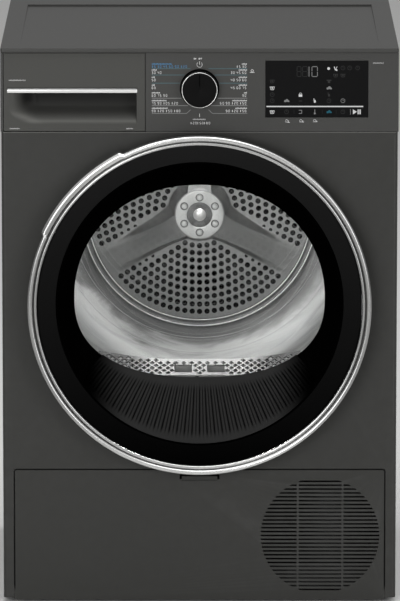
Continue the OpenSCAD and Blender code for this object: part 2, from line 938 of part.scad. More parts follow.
module lattice_holes() {
    cell = 12.1;
    for (i = [-12 : 12], j = [0 : 1 : 9]) {
        x = (i + (j % 2) / 2) * cell;
        v = 4.5 + j * cell / 2;
        notch = abs(abs(x) - 25) < 17 && v > 3 && v < 28;
        if (v < lattice_far(x) - 5 && abs(x) < lattice_half - 5 && !notch)
            translate([x, v])
                rotate(90)
                    circle(4.4, $fn = 4);
    }
    for (side = [-1, 1])
        translate([side * 25, 15])
            square([27, 18], center = true);
}

module on_slope() {
    translate([0, well_y, sill_z + 2])
        rotate([slope, 0, 0])
            children();
}

module lint_filter() {
    t = 2.5;
    inset = 2;
    color(pale) {
        on_slope()
            linear_extrude(t)
                difference() {
                    lattice_outline();
                    lattice_holes();
                }
        difference() {
            block([-well_half + inset, well_y + inset, well_z + 5],
                [well_half - inset, well_y + well_d - inset, sill_z + 40]);
            block([-well_half + inset + t, well_y + inset + t, well_z + 10],
                [well_half - inset - t, well_y + well_d - inset - t, sill_z + 50]);
            on_slope()
                block([-300, -60, 0.01], [300, 200, 100]);
            for (x = [-90 : 30 : 90])
                block([x - 11, well_y - 2, well_z + 14], [x + 11, well_y + well_d + 2, sill_z - 6]);
        }
    }
}

module drum_shell() {
    step_y = shell_y + 14;
    color(zinc)
        turned(0, drum_z) {
            rect(collar_in, collar_in + drum_t, shell_y, step_y);
            rect(collar_in, drum_r, step_y - drum_t, step_y);
            rect(drum_r - drum_t, drum_r, step_y - drum_t, fillet_y);
        }
}

function row_count(k) = k < 6 ? 12 - k : 11 - k;
function hole_radius(k, i) = k > 2 && k < 6 && abs(i) == row_count(k) ? hole_d * 0.32 : hole_d / 2;

module air_holes() {
    for (sector = [-90, 30, 150], k = [0 : 9])
        let (r = hole_row_r - k * hole_pitch)
            for (i = [-row_count(k) : row_count(k)])
                rotate(sector + i * hole_pitch / r * 180 / PI)
                    translate([r, 0])
                        circle(hole_radius(k, i), $fn = 16);
}

module spoke(inset) {
    half = 23 - inset;
    translate([0, 0, drum_z])
        rotate([0, -90, 0])
            translate([0, 0, -half])
                linear_extrude(2 * half)
                    polygon([
                        [hub_r - 14, hub_y + inset], [hub_r + 6, hub_y + inset],
                        [rim_r - 8 - inset, plate_y - 9 + inset], [rim_r - 8 - inset, plate_y + inset],
                        [hub_r - 14, plate_y + inset]
                    ]);
}

module spokes(inset) {
    for (a = [0, 120, 240])
        translate([0, 0, drum_z])
            rotate([0, a, 0])
                translate([0, 0, -drum_z])
                    spoke(inset);
}

module drum_back() {
    skin = 1.6;
    cone_r = hub_r + 14;
    color(zinc)
        difference() {
            union() {
                turned(0, drum_z) {
                    intersection() {
                        translate([drum_r - fillet_r, fillet_y])
                            difference() {
                                circle(fillet_r);
                                circle(fillet_r - drum_t);
                            }
                        rect(drum_r - fillet_r, drum_r, fillet_y, plate_y);
                    }
                    rect(rim_r - 9, rim_r, plate_y - 4, plate_y);
                    translate([rim_r - 4.5, plate_y - 4])
                        circle(4.5);
                }
                upright(plate_y - drum_t, plate_y)
                    translate([0, drum_z])
                        difference() {
                            circle(rim_r + 3.5);
                            air_holes();
                        }
                intersection() {
                    spokes(0);
                    bar_y(0, drum_z, rim_r - 5, hub_y - 1, plate_y);
                }
                turned(0, drum_z)
                    polygon([[0, hub_y], [hub_r, hub_y], [cone_r, plate_y - 0.1], [0, plate_y - 0.1]]);
            }
            spokes(skin);
            turned(0, drum_z)
                polygon([[0, hub_y + 3], [hub_r - 2, hub_y + 3], [cone_r - 2, plate_y + 1],
                    [0, plate_y + 1]]);
            bar_y(0, drum_z, shaft_r + 0.2, hub_y - 2, plate_y + 2);
        }
}

module drum_lifters() {
    start = shell_y + 50;
    end = fillet_y - 10;
    color([0.8, 0.8, 0.8])
        for (a = [0, 120, 240])
            translate([0, 0, drum_z])
                rotate([0, a, 0])
                    translate([0, 0, -drum_z])
                        intersection() {
                            upright(start, end)
                                translate([0, drum_z])
                                    polygon([[-36, drum_r - 7], [-12, drum_r - drum_t - lifter_h],
                                        [12, drum_r - drum_t - lifter_h], [36, drum_r - 7],
                                        [36, drum_r + 13], [-36, drum_r + 13]]);
                            bar_y(0, drum_z, drum_r - drum_t - fit, start - 1, end + 1);
                        }
}

module drum_hub() {
    color(pale)
        difference() {
            union() {
                bar_y(0, drum_z, hub_r, hub_y - 4, hub_y);
                bar_y(0, drum_z, shaft_r, hub_y - 1, wall_y + 8);
            }
            bar_y(0, drum_z, 20, hub_y - 5, hub_y - 2);
        }
}

module hub_bolts() {
    color(pale) {
        for (a = [30 : 60 : 330])
            bar_y(bolt_row_r * cos(a), drum_z + bolt_row_r * sin(a), 6, hub_y - 7, hub_y - 4);
        bar_y(0, drum_z, 8, hub_y - 7, hub_y - 2);
    }
}

module bearing_carrier() {
    color(zinc)
        difference() {
            union() {
                upright(wall_y - 6, wall_y)
                    translate([0, drum_z]) {
                        difference() {
                            circle(rim_r + 6);
                            circle(rim_r - 11);
                        }
                        for (a = [90, 210, 330])
                            rotate(a)
                                rect(0, rim_r - 5, -13, 13);
                    }
                bar_y(0, drum_z, 27, wall_y - 11, wall_y + 7);
            }
            bar_y(0, drum_z, shaft_r + fit, wall_y - 20, wall_y + 20);
        }
}

// ---- Drive ----

module belt_loop(grow) {
    hull() {
        translate([0, drum_z])
            circle(drum_r + gap + grow, $fn = 160);
        translate([motor_x, motor_z])
            circle(pulley_r + gap + grow, $fn = 48);
    }
}

module drum_belt() {
    color(dark)
        upright(belt_y, belt_y + belt_w)
            difference() {
                belt_loop(belt_t);
                belt_loop(0);
            }
}

module drive_motor() {
    color([0.4, 0.4, 0.4])
        difference() {
            union() {
                bar_y(motor_x, motor_z, motor_r, motor_y + 6, motor_y + motor_len - 6);
                bar_y(motor_x, motor_z, motor_r - 20, motor_y, motor_y + motor_len);
                for (y = [motor_y + 10, motor_y + motor_len - 22])
                    block([motor_x - 40, y, tray_z + tray_floor], [motor_x + 40, y + 12, motor_z - 30]);
                block([motor_x - 50, motor_y + 10, tray_z + tray_floor],
                    [motor_x + 50, motor_y + motor_len - 10, tray_z + tray_floor + 6]);
                block([motor_x, motor_y + 10, arm_z - 10], [arm_x + 10, motor_y + 20, arm_z + 10]);
                bar_y(arm_x, arm_z, 5, belt_y - 2, motor_y + 12);
                bar_y(arm_x, arm_z, 9, belt_y + belt_w + 1.6, motor_y + 12);
            }
            bar_y(motor_x, motor_z, 8 + fit, motor_y - 1, motor_y + motor_len + 1);
        }
}

module motor_pulley() {
    color(zinc) {
        bar_y(motor_x, motor_z, 8, belt_y - 4, fan_y + fan_w);
        bar_y(motor_x, motor_z, pulley_r, belt_y - 4, belt_y + belt_w + 4);
        for (y = [belt_y - 4, belt_y + belt_w + 1])
            bar_y(motor_x, motor_z, pulley_r + 4, y, y + 3);
    }
}

module fan_impeller() {
    blades = 15;
    color(pale)
        difference() {
            union() {
                bar_y(motor_x, motor_z, 18, fan_y + 2, fan_y + fan_w);
                bar_y(motor_x, motor_z, fan_r, fan_y + fan_w - 3, fan_y + fan_w);
                for (i = [0 : blades - 1])
                    translate([motor_x, 0, motor_z])
                        rotate([0, i * 360 / blades, 0])
                            block([16, fan_y + 4, -1.2], [fan_r - 2, fan_y + fan_w - 1, 1.2]);
            }
            bar_y(motor_x, motor_z, 8, fan_y, fan_y + fan_w + 1);
        }
}

module fan_housing() {
    wall = 2.5;
    start = fan_y - 6;
    end = wall_y - gap;
    color(dark) {
        difference() {
            union() {
                bar_y(motor_x, motor_z, fan_r + 6 + wall, start, end);
                block([motor_x - 50, start, tray_z + tray_floor], [motor_x + 50, end - 8, motor_z - 40]);
            }
            bar_y(motor_x, motor_z, fan_r + 6, start + wall, end + 1);
            bar_y(motor_x, motor_z, 44, start - 1, start + wall + 1);
        }
    }
}

module idler_arm() {
    start = belt_y - 9;
    color(zinc)
        difference() {
            union() {
                hull() {
                    bar_y(arm_x, arm_z, 11, start, start + 5, $fn = 32);
                    bar_y(idler_x, idler_z, 9, start, start + 5, $fn = 32);
                }
                bar_y(arm_x, arm_z, 9, start, belt_y + belt_w + 1.2);
                bar_y(idler_x, idler_z, 4, start, belt_y + belt_w + 3);
                bar_y(arm_x + 26, arm_z + 2, 2.5, start, start + 9);
                block([arm_x, start, arm_z - 4], [arm_x + 29, start + 5, arm_z + 6]);
            }
            bar_y(arm_x, arm_z, 5 + fit, start - 1, belt_y + belt_w + 2);
        }
}

module idler_pulley() {
    color(dark)
        difference() {
            bar_y(idler_x, idler_z, idler_r, belt_y - 2, belt_y + belt_w + 2);
            bar_y(idler_x, idler_z, 4 + fit, belt_y - 3, belt_y + belt_w + 3);
        }
}

module idler_spring() {
    color(zinc)
        difference() {
            bar_z(arm_x + 24, belt_y - 6.5, 5, tray_z + tray_floor, arm_z - 4);
            bar_z(arm_x + 24, belt_y - 6.5, 3.5, tray_z, arm_z);
        }
}

module roller(side) {
    x = side * wheel_run * sin(roller_angle);
    z = drum_z - wheel_run * cos(roller_angle);
    color(dark)
        difference() {
            bar_y(x, z, roller_r, wheel_y, wheel_y + wheel_w);
            bar_y(x, z, 5 + fit, wheel_y - 1, wheel_y + wheel_w + 1);
        }
}

module roller_left() { roller(-1); }
module roller_right() { roller(1); }

// ---- Heat pump ----

module compressor() {
    color(dark) {
        bar_z(comp_x, comp_y, comp_r, 34, 150);
        translate([comp_x, comp_y, 150])
            cylinder(r1 = comp_r, r2 = comp_r - 22, h = 20);
        bar_z(comp_x, comp_y, comp_r + 8, 30, 35);
        for (a = [45 : 90 : 315])
            bar_z(comp_x + 56 * cos(a), comp_y + 56 * sin(a), 9, tray_z + tray_floor, 31);
        bar_z(comp_x - 20, comp_y, 7, 160, 187);
        bar_x(comp_y, 178, 5, exchanger_w - exchanger_left, comp_x - 20);
    }
}

module heat_exchanger() {
    fin_step = 7;
    fin_t = 1;
    left = -exchanger_left;
    color([0.7, 0.55, 0.45])
        for (span = [[75, 170], [200, 380]]) {
            block([left, front_y + span[0], tray_z + tray_floor],
                [left + exchanger_w, front_y + span[1], exchanger_z]);
            block([left, front_y + span[0], exchanger_z + exchanger_h - 4],
                [left + exchanger_w, front_y + span[1], exchanger_z + exchanger_h]);
            for (x = [left : fin_step : left + exchanger_w - fin_t])
                block([x, front_y + span[0], exchanger_z - 1],
                    [x + fin_t, front_y + span[1], exchanger_z + exchanger_h - 3]);
        }
}

module heat_exchanger_cover() {
    left = -exchanger_left + 16;
    color(pale)
        difference() {
            union() {
                block([left, cover_y, 36], [-exchanger_left + exchanger_w + 4, cover_y + cover_t - 4,
                    exchanger_z + exchanger_h]);
                block([left + 6, cover_y, 52], [-exchanger_left + exchanger_w - 2, front_y + 75,
                    exchanger_z + exchanger_h - 6]);
                block([left, cover_y, 36], [left + 30, cover_y + cover_t, 50]);
            }
            for (x = lever_x)
                bar_y(x, lever_z, 5 + fit, cover_y - 1, cover_y + 20);
        }
}

module cover_lever(x) {
    color([0.15, 0.35, 0.6]) {
        bar_y(x, lever_z, 5, cover_y - 1, cover_y + 16);
        bar_y(x, lever_z, 11, cover_y - 8, cover_y - gap);
        block([x - 5, cover_y - 8, lever_z], [x + 5, cover_y - gap, lever_z + 34]);
    }
}

module cover_lever_left() { cover_lever(lever_x[0]); }
module cover_lever_right() { cover_lever(lever_x[1]); }

module condensate_pump() {
    x = -side_x + 70;
    y = front_y + 420;
    color(dark) {
        block([x, y, tray_z + tray_floor], [x + 70, y + 56, 60]);
        bar_z(x + 35, y + 28, 24, 60, 84);
        bar_x(y + 28, 72, 5, x - 14, x + 20);
    }
}

// ---- Kick flap ----

module flap_outline(inset) {
    difference() {
        union() {
            round_rect(-flap_half_w + inset, flap_half_w - inset, flap_bottom + inset,
                flap_top - inset, 4.5);
        }
    }
}

module kick_flap() {
    skin = 3;
    pin_at = flap_half_w - 11;
    color(steel)
        difference() {
            union() {
                upright(front_y, front_y + skin)
                    flap_outline(0);
                difference() {
                    upright(front_y, front_y + flap_t)
                        flap_outline(0);
                    upright(front_y - 1, front_y + flap_t + 1)
                        flap_outline(skin);
                    block([-side_x, front_y + skin, 0], [side_x, front_y + 40, flap_axis_z + 26]);
                }
                for (side = [-1, 1]) {
                    block([side * (pin_at + 8.5) - 1.5, front_y + 1, flap_axis_z - 6],
                        [side * (pin_at + 8.5) + 1.5, front_y + flap_t, flap_axis_z + 40]);
                    bar_x(flap_axis_y, flap_axis_z, pin_r, side * (pin_at + 3) - 5,
                        side * (pin_at + 3) + 5);
                }
            }
            intersection() {
                upright(front_y - 1, front_y + skin + 1)
                    for (i = [-14 : 14])
                        rect(grille_x - grille_r, grille_x + grille_r,
                            grille_z + i * slot_pitch - slot_h / 2,
                            grille_z + i * slot_pitch + slot_h / 2);
                difference() {
                    bar_y(grille_x, grille_z, grille_r, front_y - 2, front_y + 20);
                    for (x = [-34, 34])
                        block([grille_x + x - 1.5, front_y - 3, 0],
                            [grille_x + x + 1.5, front_y + 30, 400]);
                }
            }
            block([-28, front_y - 1, latch_z], [28, front_y + 4, latch_z + 8.4]);
            block([-20, front_y + 1, latch_z + 2], [20, front_y + 20, latch_z + 6]);
        }
}

module flap_latch() {
    color(steel)
        union() {
            block([-27.4, front_y, latch_z + 0.5], [27.4, front_y + 2.4, latch_z + 7.9]);
            block([-19, front_y + 1, latch_z + 2.3], [19, front_y + 8, latch_z + 5.7]);
        }
}

top_panel();
side_panel(-1);  // side_panel_left
side_panel(1);  // side_panel_right
front_panel();
rear_panel();
rear_duct_cover();
base_tray();
control_panel();
kick_flap();
flap_latch();
foot_front_left();
foot_front_right();
foot_rear_left();
foot_rear_right();
cabinet_screws();
mains_inlet();
tank_front();
tank_grip_trim();
water_tank();
tank_housing();
program_knob();
display_window();
control_board();
door_trim_ring();
door_outer_frame();
door_funnel();
door_ribbed_apron();
door_glass();
door_inner_frame();
door_seal();
door_hinge_leaf();
hinge_bracket();
hinge_pin();
door_hook();
door_catch();
front_bulkhead();
drum_felts();
lint_filter();
drum_shell();
drum_back();
drum_lifters();
drum_hub();
hub_bolts();
bearing_carrier();
drum_belt();
drive_motor();
motor_pulley();
fan_impeller();
fan_housing();
idler_arm();
idler_pulley();
idler_spring();
roller_left();
roller_right();
compressor();
heat_exchanger();
heat_exchanger_cover();
cover_lever_left();
cover_lever_right();
condensate_pump();
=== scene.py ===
import json
import math

import bmesh
import bpy
import numpy as np
from mathutils import Matrix, Vector

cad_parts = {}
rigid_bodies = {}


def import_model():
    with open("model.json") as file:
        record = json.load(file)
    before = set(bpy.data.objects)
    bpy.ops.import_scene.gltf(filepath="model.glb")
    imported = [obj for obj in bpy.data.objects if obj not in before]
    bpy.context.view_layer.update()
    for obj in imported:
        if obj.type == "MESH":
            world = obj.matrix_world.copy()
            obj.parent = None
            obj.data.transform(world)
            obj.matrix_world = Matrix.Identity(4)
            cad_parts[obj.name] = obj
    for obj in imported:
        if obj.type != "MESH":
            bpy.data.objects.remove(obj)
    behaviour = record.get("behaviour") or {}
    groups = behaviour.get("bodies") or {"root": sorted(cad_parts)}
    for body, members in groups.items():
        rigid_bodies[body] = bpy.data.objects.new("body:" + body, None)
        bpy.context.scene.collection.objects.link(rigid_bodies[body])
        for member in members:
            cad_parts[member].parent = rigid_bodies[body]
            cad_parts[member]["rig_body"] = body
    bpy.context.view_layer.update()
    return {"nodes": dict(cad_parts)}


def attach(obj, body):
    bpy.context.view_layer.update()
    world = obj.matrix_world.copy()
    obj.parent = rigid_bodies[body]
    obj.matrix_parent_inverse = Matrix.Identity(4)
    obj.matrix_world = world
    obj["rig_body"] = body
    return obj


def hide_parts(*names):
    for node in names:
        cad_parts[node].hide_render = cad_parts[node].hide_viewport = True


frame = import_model()
nodes = frame["nodes"]

# ---------------------------------------------------------------- sizes, in metres

FRONT = -0.260
WALL = 0.240
FASCIA_Z = 0.72395
FASCIA_H = 0.119
FASCIA_TOP = FASCIA_Z + FASCIA_H
FASCIA_SETBACK = 0.004
KNOB_Z = 0.78895
KNOB_R = 0.0276
KNOB_FACE = FRONT - 0.018
DOOR_Z = 0.4635
RING_R = 0.259
RING_W = 0.0143
RING_IN = RING_R - RING_W
RING_FRONT = -0.29998
RING_SEAT = -0.284
OUTER_BEAD, INNER_BEAD = 0.0040, 0.0027
GROOVE_DEEP = 0.0060
HANDLE = (116.3, 155.5)
NOTCH_HALF = 0.046
FUNNEL_R = 0.2170
FUNNEL_START = FRONT - 0.016
FUNNEL_ROWS = 12
GLASS_Y = -0.180
WINDOW_HALF = 0.193
WINDOW_UP = 0.1767
WINDOW_DOWN = 0.1259
WINDOW_DROP = 0.0077
APRON_HALF, APRON_PITCH = 57.0, 3.3
DRUM_Z = 0.526
DRUM_R = 0.287
DRUM_T = 0.0012
HUB_Y = 0.168
HUB_FACE = HUB_Y - 0.004
PLATE_Y = 0.218
RIM_R = 0.186
SPIDER_START, SPIDER_END = 0.0122, 0.1745
AIR_PITCH = 0.01175
AIR_ROW = 0.1638
AIR_R, SMALL_AIR_R = 0.00435, 0.00278171053
DRAWER_LEFT, DRAWER_RIGHT = -0.29435, -0.08165
GRIP_LEFT, GRIP_RIGHT = -0.2890, -0.0936
GRIP_Z, GRIP_H = FASCIA_Z + 0.0588, 0.0072
POCKET_DEEP, POCKET_TALL = 0.0255, 0.0468
LATCH_TOP = 0.1972
FLAP_HALF, FLAP_TOP, FLAP_ROUND, FLAP_FOOT = 0.2807, 0.2055, 0.0040, 0.020
WELD = 0.000001


# ---------------------------------------------------------------- shader groups

def join(tree, socket, value):
    """Links a socket to another one, or sets its value."""
    if isinstance(value, bpy.types.NodeSocket):
        tree.links.new(value, socket)
    else:
        socket.default_value = value


def add(tree, kind, inputs=None, **settings):
    """One node with its settings; inputs maps an input's name or number to a socket or a value."""
    node = tree.nodes.new(kind)
    for key, value in settings.items():
        setattr(node, key, value)
    for key, value in (inputs or {}).items():
        join(tree, node.inputs[key], value)
    return node


def math_node(tree, operation, a, b=0.0):
    return add(tree, "ShaderNodeMath", {0: a, 1: b}, operation=operation).outputs[0]


def times(tree, a, b):
    return math_node(tree, "MULTIPLY", a, b)


def shader_group(name, inputs, outputs):
    """A node group on a place and named numbers; returns the tree, its inputs and its end node."""
    tree = bpy.data.node_groups.new(name, "ShaderNodeTree")
    tree.interface.new_socket("Vector", in_out="INPUT", socket_type="NodeSocketVector")
    for label, value in inputs.items():
        tree.interface.new_socket(label, in_out="INPUT", socket_type="NodeSocketFloat").default_value = value
    for label in outputs:
        tree.interface.new_socket(label, in_out="OUTPUT", socket_type="NodeSocketFloat")
    return tree, tree.nodes.new("NodeGroupInput").outputs, tree.nodes.new("NodeGroupOutput")


def build_powder_grain():
    """Tiny paint or moulding grain and a slow change of tone."""
    tree, start, end = shader_group("powder_grain", {"Scale": 900.0, "Mottle Scale": 6.0, "Mottle": 0.1},
                                    ("Height", "Tone"))
    fine = add(tree, "ShaderNodeTexNoise", {"Vector": start["Vector"], "Scale": start["Scale"],
                                            "Detail": 2.0})
    broad = add(tree, "ShaderNodeTexNoise", {"Vector": start["Vector"], "Scale": start["Mottle Scale"],
                                             "Detail": 4.0})
    change = times(tree, math_node(tree, "SUBTRACT", broad.outputs["Fac"], 0.5), start["Mottle"])
    join(tree, end.inputs["Height"], fine.outputs["Fac"])
    join(tree, end.inputs["Tone"], math_node(tree, "ADD", change, 1.0))
    return tree


def build_brushing():
    """Long fine scratches along one direction."""
    tree, start, end = shader_group("brushing", {"Fine": 1.0}, ("Height",))
    streak = add(tree, "ShaderNodeTexNoise", {"Vector": start["Vector"], "Scale": 1.0, "Detail": 3.0,
                                              "Roughness": 0.65})
    join(tree, end.inputs["Height"], times(tree, streak.outputs["Fac"], start["Fine"]))
    return tree


def build_edge_wear():
    """A mask of rubbed edges, broken up by a noise."""
    tree, start, end = shader_group("edge_wear", {"Sharpness": 12.0, "Amount": 0.5}, ("Mask",))
    pointed = add(tree, "ShaderNodeNewGeometry").outputs["Pointiness"]
    sharp = times(tree, math_node(tree, "SUBTRACT", pointed, 0.5), start["Sharpness"])
    breakup = add(tree, "ShaderNodeTexNoise", {"Vector": start["Vector"], "Scale": 70.0})
    worn = times(tree, times(tree, sharp, breakup.outputs["Fac"]), start["Amount"])
    join(tree, end.inputs["Mask"], add(tree, "ShaderNodeClamp", {"Value": worn}).outputs[0])
    return tree


POWDER = build_powder_grain()
BRUSHING = build_brushing()
EDGE_WEAR = build_edge_wear()


class Finish:
    """A material in the making, with short calls for the arithmetic on its sockets."""

    def __init__(self, name):
        self.material = bpy.data.materials.new(name)
        self.material.use_nodes = True
        self.tree = self.material.node_tree
        self.shader = self.tree.nodes["Principled BSDF"]
        self.place = self.tree.nodes.new("ShaderNodeTexCoord").outputs["Object"]

    def node(self, kind, inputs=None, **settings):
        return add(self.tree, kind, inputs, **settings).outputs

    def math(self, operation, a, b=0.0):
        return math_node(self.tree, operation, a, b)

    def times(self, a, b):
        return self.math("MULTIPLY", a, b)

    def plus(self, a, b):
        return self.math("ADD", a, b)

    def less(self, a, b):
        return self.math("SUBTRACT", a, b)

    def axes(self):
        """The place's x, y and z."""
        return self.node("ShaderNodeSeparateXYZ", {0: self.place})

    def span(self, value, low, high, start, end, kind="SMOOTHSTEP"):
        """Runs from start to end while the value runs from low to high."""
        return self.node("ShaderNodeMapRange", {"Value": value, "From Min": low, "From Max": high,
                                                "To Min": start, "To Max": end},
                         interpolation_type=kind)[0]

    def reach(self, across, up):
        """How far a place is from an axis that runs front to back."""
        return self.math("SQRT", self.plus(self.times(across, across), self.times(up, up)))

    def group(self, tree, vector=None, **values):
        inputs = {key.replace("_", " "): value for key, value in values.items()}
        vector = self.place if vector is None else vector
        return self.node("ShaderNodeGroup", {"Vector": vector, **inputs}, node_tree=tree)

    def powder(self, scale, mottle_scale, mottle):
        return self.group(POWDER, Scale=scale, Mottle_Scale=mottle_scale, Mottle=mottle)

    def tinted(self, colour, factor):
        """A colour multiplied by a factor that changes over the surface."""
        return self.node("ShaderNodeVectorMath", {0: colour, 1: factor}, operation="MULTIPLY")[0]

    def blend(self, mask, a, colour):
        """Socket a, and the plain colour where the mask is 1."""
        return self.node("ShaderNodeMix", {"Factor": mask, 6: a, 7: (*colour, 1)}, data_type="RGBA")[2]

    def set(self, rough=None, metal=None, specular=None, **others):
        """Plain values on the shader's own sockets."""
        values = {"Roughness": rough, "Metallic": metal, "Specular IOR Level": specular}
        values.update({key.replace("_", " ").title(): value for key, value in others.items()})
        for label, value in values.items():
            if value is not None:
                self.shader.inputs[label].default_value = value

    def feed(self, label, value):
        join(self.tree, self.shader.inputs[label], value)

    def gloss(self, change, share, middle):
        """Roughness about a middle value, moved by a share of a change."""
        self.feed("Roughness", self.plus(self.times(change, share), middle))

    def bump(self, height, depth):
        self.feed("Normal", self.node("ShaderNodeBump", {"Height": height, "Distance": depth,
                                                         "Strength": 1.0})[0])
        return self.material

    def done(self, colour, tone, height, depth, **values):
        """Closes a material: a colour with a changing tone, plain values and a bump."""
        self.feed("Base Color", self.tinted(colour, tone))
        self.set(**values)
        return self.bump(height, depth)


GREY = (1.0, 1.0, 0.99)


def coated(name, colour, rough, grain, depth=0.00003, mottle=0.1, wear=0.0,
           worn=(0.12, 0.12, 0.12), specular=0.5, rough_change=0.15):
    """Paint, enamel or moulded plastic: grain, a slow change of tone and rubbed edges."""
    coat = Finish(name)
    powder = coat.powder(grain, 6.0, mottle)
    rubbed = coat.group(EDGE_WEAR, Amount=wear)["Mask"]
    coat.feed("Base Color", coat.blend(rubbed, coat.tinted(colour, powder["Tone"]), worn))
    coat.gloss(coat.less(powder["Height"], 0.5), rough_change, rough)
    coat.set(specular=specular)
    return coat.bump(powder["Height"], depth)


def metal(name, colour, rough, stretch=(700, 700, 700), depth=0.000004, cloud=0.06, cloud_scale=30.0,
          tone=0.1):
    """Bare or plated metal: fine scratches along one direction, and cloudy gloss."""
    bare = Finish(name)
    stretched = bare.node("ShaderNodeMapping", {"Vector": bare.place, "Scale": stretch})[0]
    lines = bare.group(BRUSHING, stretched)
    slow = bare.less(bare.powder(300.0, cloud_scale, 1.0)["Tone"], 1.0)
    bare.gloss(slow, cloud, rough)
    return bare.done(colour, bare.plus(bare.times(slow, tone), 1.0), lines["Height"], depth, metal=1.0)


def printed(name, colour, rough=0.5, **others):
    """Ink on a moulding or a panel."""
    return coated(name, colour, rough, 2000, 0.00001, **others)


# ---------------------------------------------------------------- finishes

RUBBED = (0.10, 0.10, 0.10)
enamel = coated("dark_enamel", (0.0245, 0.0245, 0.0222), 0.42, 1100, 0.00002, 0.10, 0.10, RUBBED, 0.26)
top_enamel = coated("top_enamel", (0.0200, 0.0200, 0.0182), 0.42, 1100, 0.00002, 0.10, 0.10, RUBBED, 0.22)
side_enamel = coated("side_enamel", (0.028, 0.028, 0.0255), 0.5, 900, 0.00003, 0.12, 0.12, RUBBED, 0.4)
fascia_plastic = coated("fascia_moulding", (0.029, 0.029, 0.0268), 0.42, 1600, 0.00001, 0.06, 0.1,
                        specular=0.4)
funnel_black = coated("funnel_black", (0.0005, 0.0005, 0.0005), 0.5, 700, 0.00002, 0.2, specular=0.0)
knob_black = coated("knob_black", (0.0035, 0.0035, 0.0035), 0.45, 1800, 0.00001, specular=0.05)
display_black = coated("display_cover", (0.0045, 0.0045, 0.0047), 0.36, 200, 0.000001, specular=0.06,
                       rough_change=0.02)
dark_moulding = coated("dark_moulding", (0.020, 0.020, 0.020), 0.6, 700, 0.00005, 0.2, 0.3,
                       (0.06, 0.06, 0.06))
inner_moulding = coated("inner_moulding", (0.045, 0.045, 0.045), 0.55, 800, 0.00004, 0.15, 0.25)
pale_moulding = coated("pale_moulding", (0.55, 0.55, 0.54), 0.5, 800, wear=0.3, worn=(0.7, 0.7, 0.69))
blue_lever = coated("blue_lever", (0.03, 0.12, 0.33), 0.4, 900, 0.00002, 0.1, 0.5, (0.12, 0.25, 0.5))
rubber = coated("soft_rubber", (0.012, 0.012, 0.012), 0.75, 500, 0.00006, 0.3, 0.3, (0.05, 0.05, 0.05), 0.3)
motor_paint = coated("machine_paint", (0.02, 0.021, 0.022), 0.5, 400, 0.00008, 0.25, 0.8, (0.2, 0.2, 0.2))
print_white = printed("printed_white", (0.66, 0.66, 0.66))
print_grey = printed("printed_grey", (0.20, 0.20, 0.20))
# a grey for the painted highlight along the fascia's lower seam
seam_painted_highlight_grey = printed("painted_seam_highlight", (0.085, 0.085, 0.08))
# black ink for print, and for painted shade in gaps, holes and recesses
ink_and_painted_shade_black = printed("printed_black_and_painted_shade", (0.0006, 0.0006, 0.0006), rough=0.6, specular=0.02)
print_teal = printed("printed_teal", (0.035, 0.085, 0.10))
print_blue = printed("printed_blue", (0.035, 0.20, 0.40))

bright_trim = metal("bright_trim", (0.72, 0.72, 0.71), 0.22, (60, 60, 3000), 0.000003, 0.05, 9, 0.05)
plate_steel = metal("pressed_steel", (0.34, 0.345, 0.34), 0.42, (900, 40, 40), 0.000005, 0.1, 12, 0.15)
flange_steel = metal("turned_steel", (0.62, 0.63, 0.62), 0.38)
# a brighter copy of the drum's steel, for painted highlights on the plate's beads and the hub's centre bolt
painted_highlight_steel = metal("painted_highlight_metal", (0.92, 0.92, 0.91), 0.45, depth=0.000002)
dish_steel = metal("dark_steel", (0.13, 0.132, 0.13), 0.4)
zinc = metal("galvanised_sheet", (0.52, 0.535, 0.54), 0.42, (90, 90, 90), 0.00002, 0.25, 60, 0.3)
coil_metal = metal("fin_aluminium", (0.68, 0.60, 0.52), 0.35, (30, 2000, 30), 0.00001, 0.1, 9, 0.2)


def make_ring_chrome():
    """Satin chrome with painted light: painted shade in the groove and at the sides of the door, and a
    painted highlight at its foot.
    """
    ring = Finish("ring_chrome")
    clouds = ring.powder(600.0, 14.0, 0.08)
    axes = ring.axes()
    x, z = axes[0], axes[2]
    # painted shade: darker towards the door's sides
    ring_side_painted_shade = ring.span(ring.math("ABSOLUTE", x), 0.40 * RING_R, 0.92 * RING_R, 0.66, 0.34)
    # foot: a painted highlight low on the ring
    foot = ring.span(z, DOOR_Z - 0.70 * RING_R, DOOR_Z - 0.97 * RING_R, 0.0, 0.06)
    reach = ring.reach(x, ring.less(z, DOOR_Z))
    outer = ring.span(reach, RING_R - 0.0086, RING_R - 0.0076, 0.10, 1.0)
    inner = ring.span(reach, RING_IN + 0.0058, RING_IN + 0.0046, 0.10, 0.85)
    # beads: full tone on the two beads, painted shade in the groove between them
    beads = ring.math("MAXIMUM", ring.math("MAXIMUM", outer, inner), ring.times(foot, 9.0))
    tone = ring.times(ring.plus(ring_side_painted_shade, foot), ring.times(clouds["Tone"], beads))
    ring.gloss(clouds["Height"], 0.04, 0.20)
    return ring.done(GREY, tone, clouds["Height"], 0.000002, metal=1.0)


def make_lattice_silver():
    """The lint screen's moulded silver, with painted shade that makes it darker towards its two ends."""
    lattice = Finish("lattice_silver")
    clouds = lattice.powder(700.0, 40.0, 0.15)
    side = lattice.math("ABSOLUTE", lattice.axes()[0])
    # painted shade towards the screen's two ends
    tone = lattice.times(lattice.span(side, 0.060, 0.118, 0.46, 0.10), clouds["Tone"])
    return lattice.done(GREY, tone, clouds["Height"], 0.00001, rough=0.33, metal=1.0)


def make_strip_metal():
    """The grip strip's bright metal, with a painted reflection: bright below and greyer along its upper edge.
    """
    strip = Finish("grip_metal")
    lines = strip.group(BRUSHING)
    # painted reflection: bright low on the strip, grey along its upper edge
    tone = strip.span(strip.axes()[2], GRIP_Z + 0.0036, GRIP_Z + 0.0056, 0.92, 0.20)
    return strip.done(GREY, tone, lines["Height"], 0.000003, rough=0.34, metal=1.0)


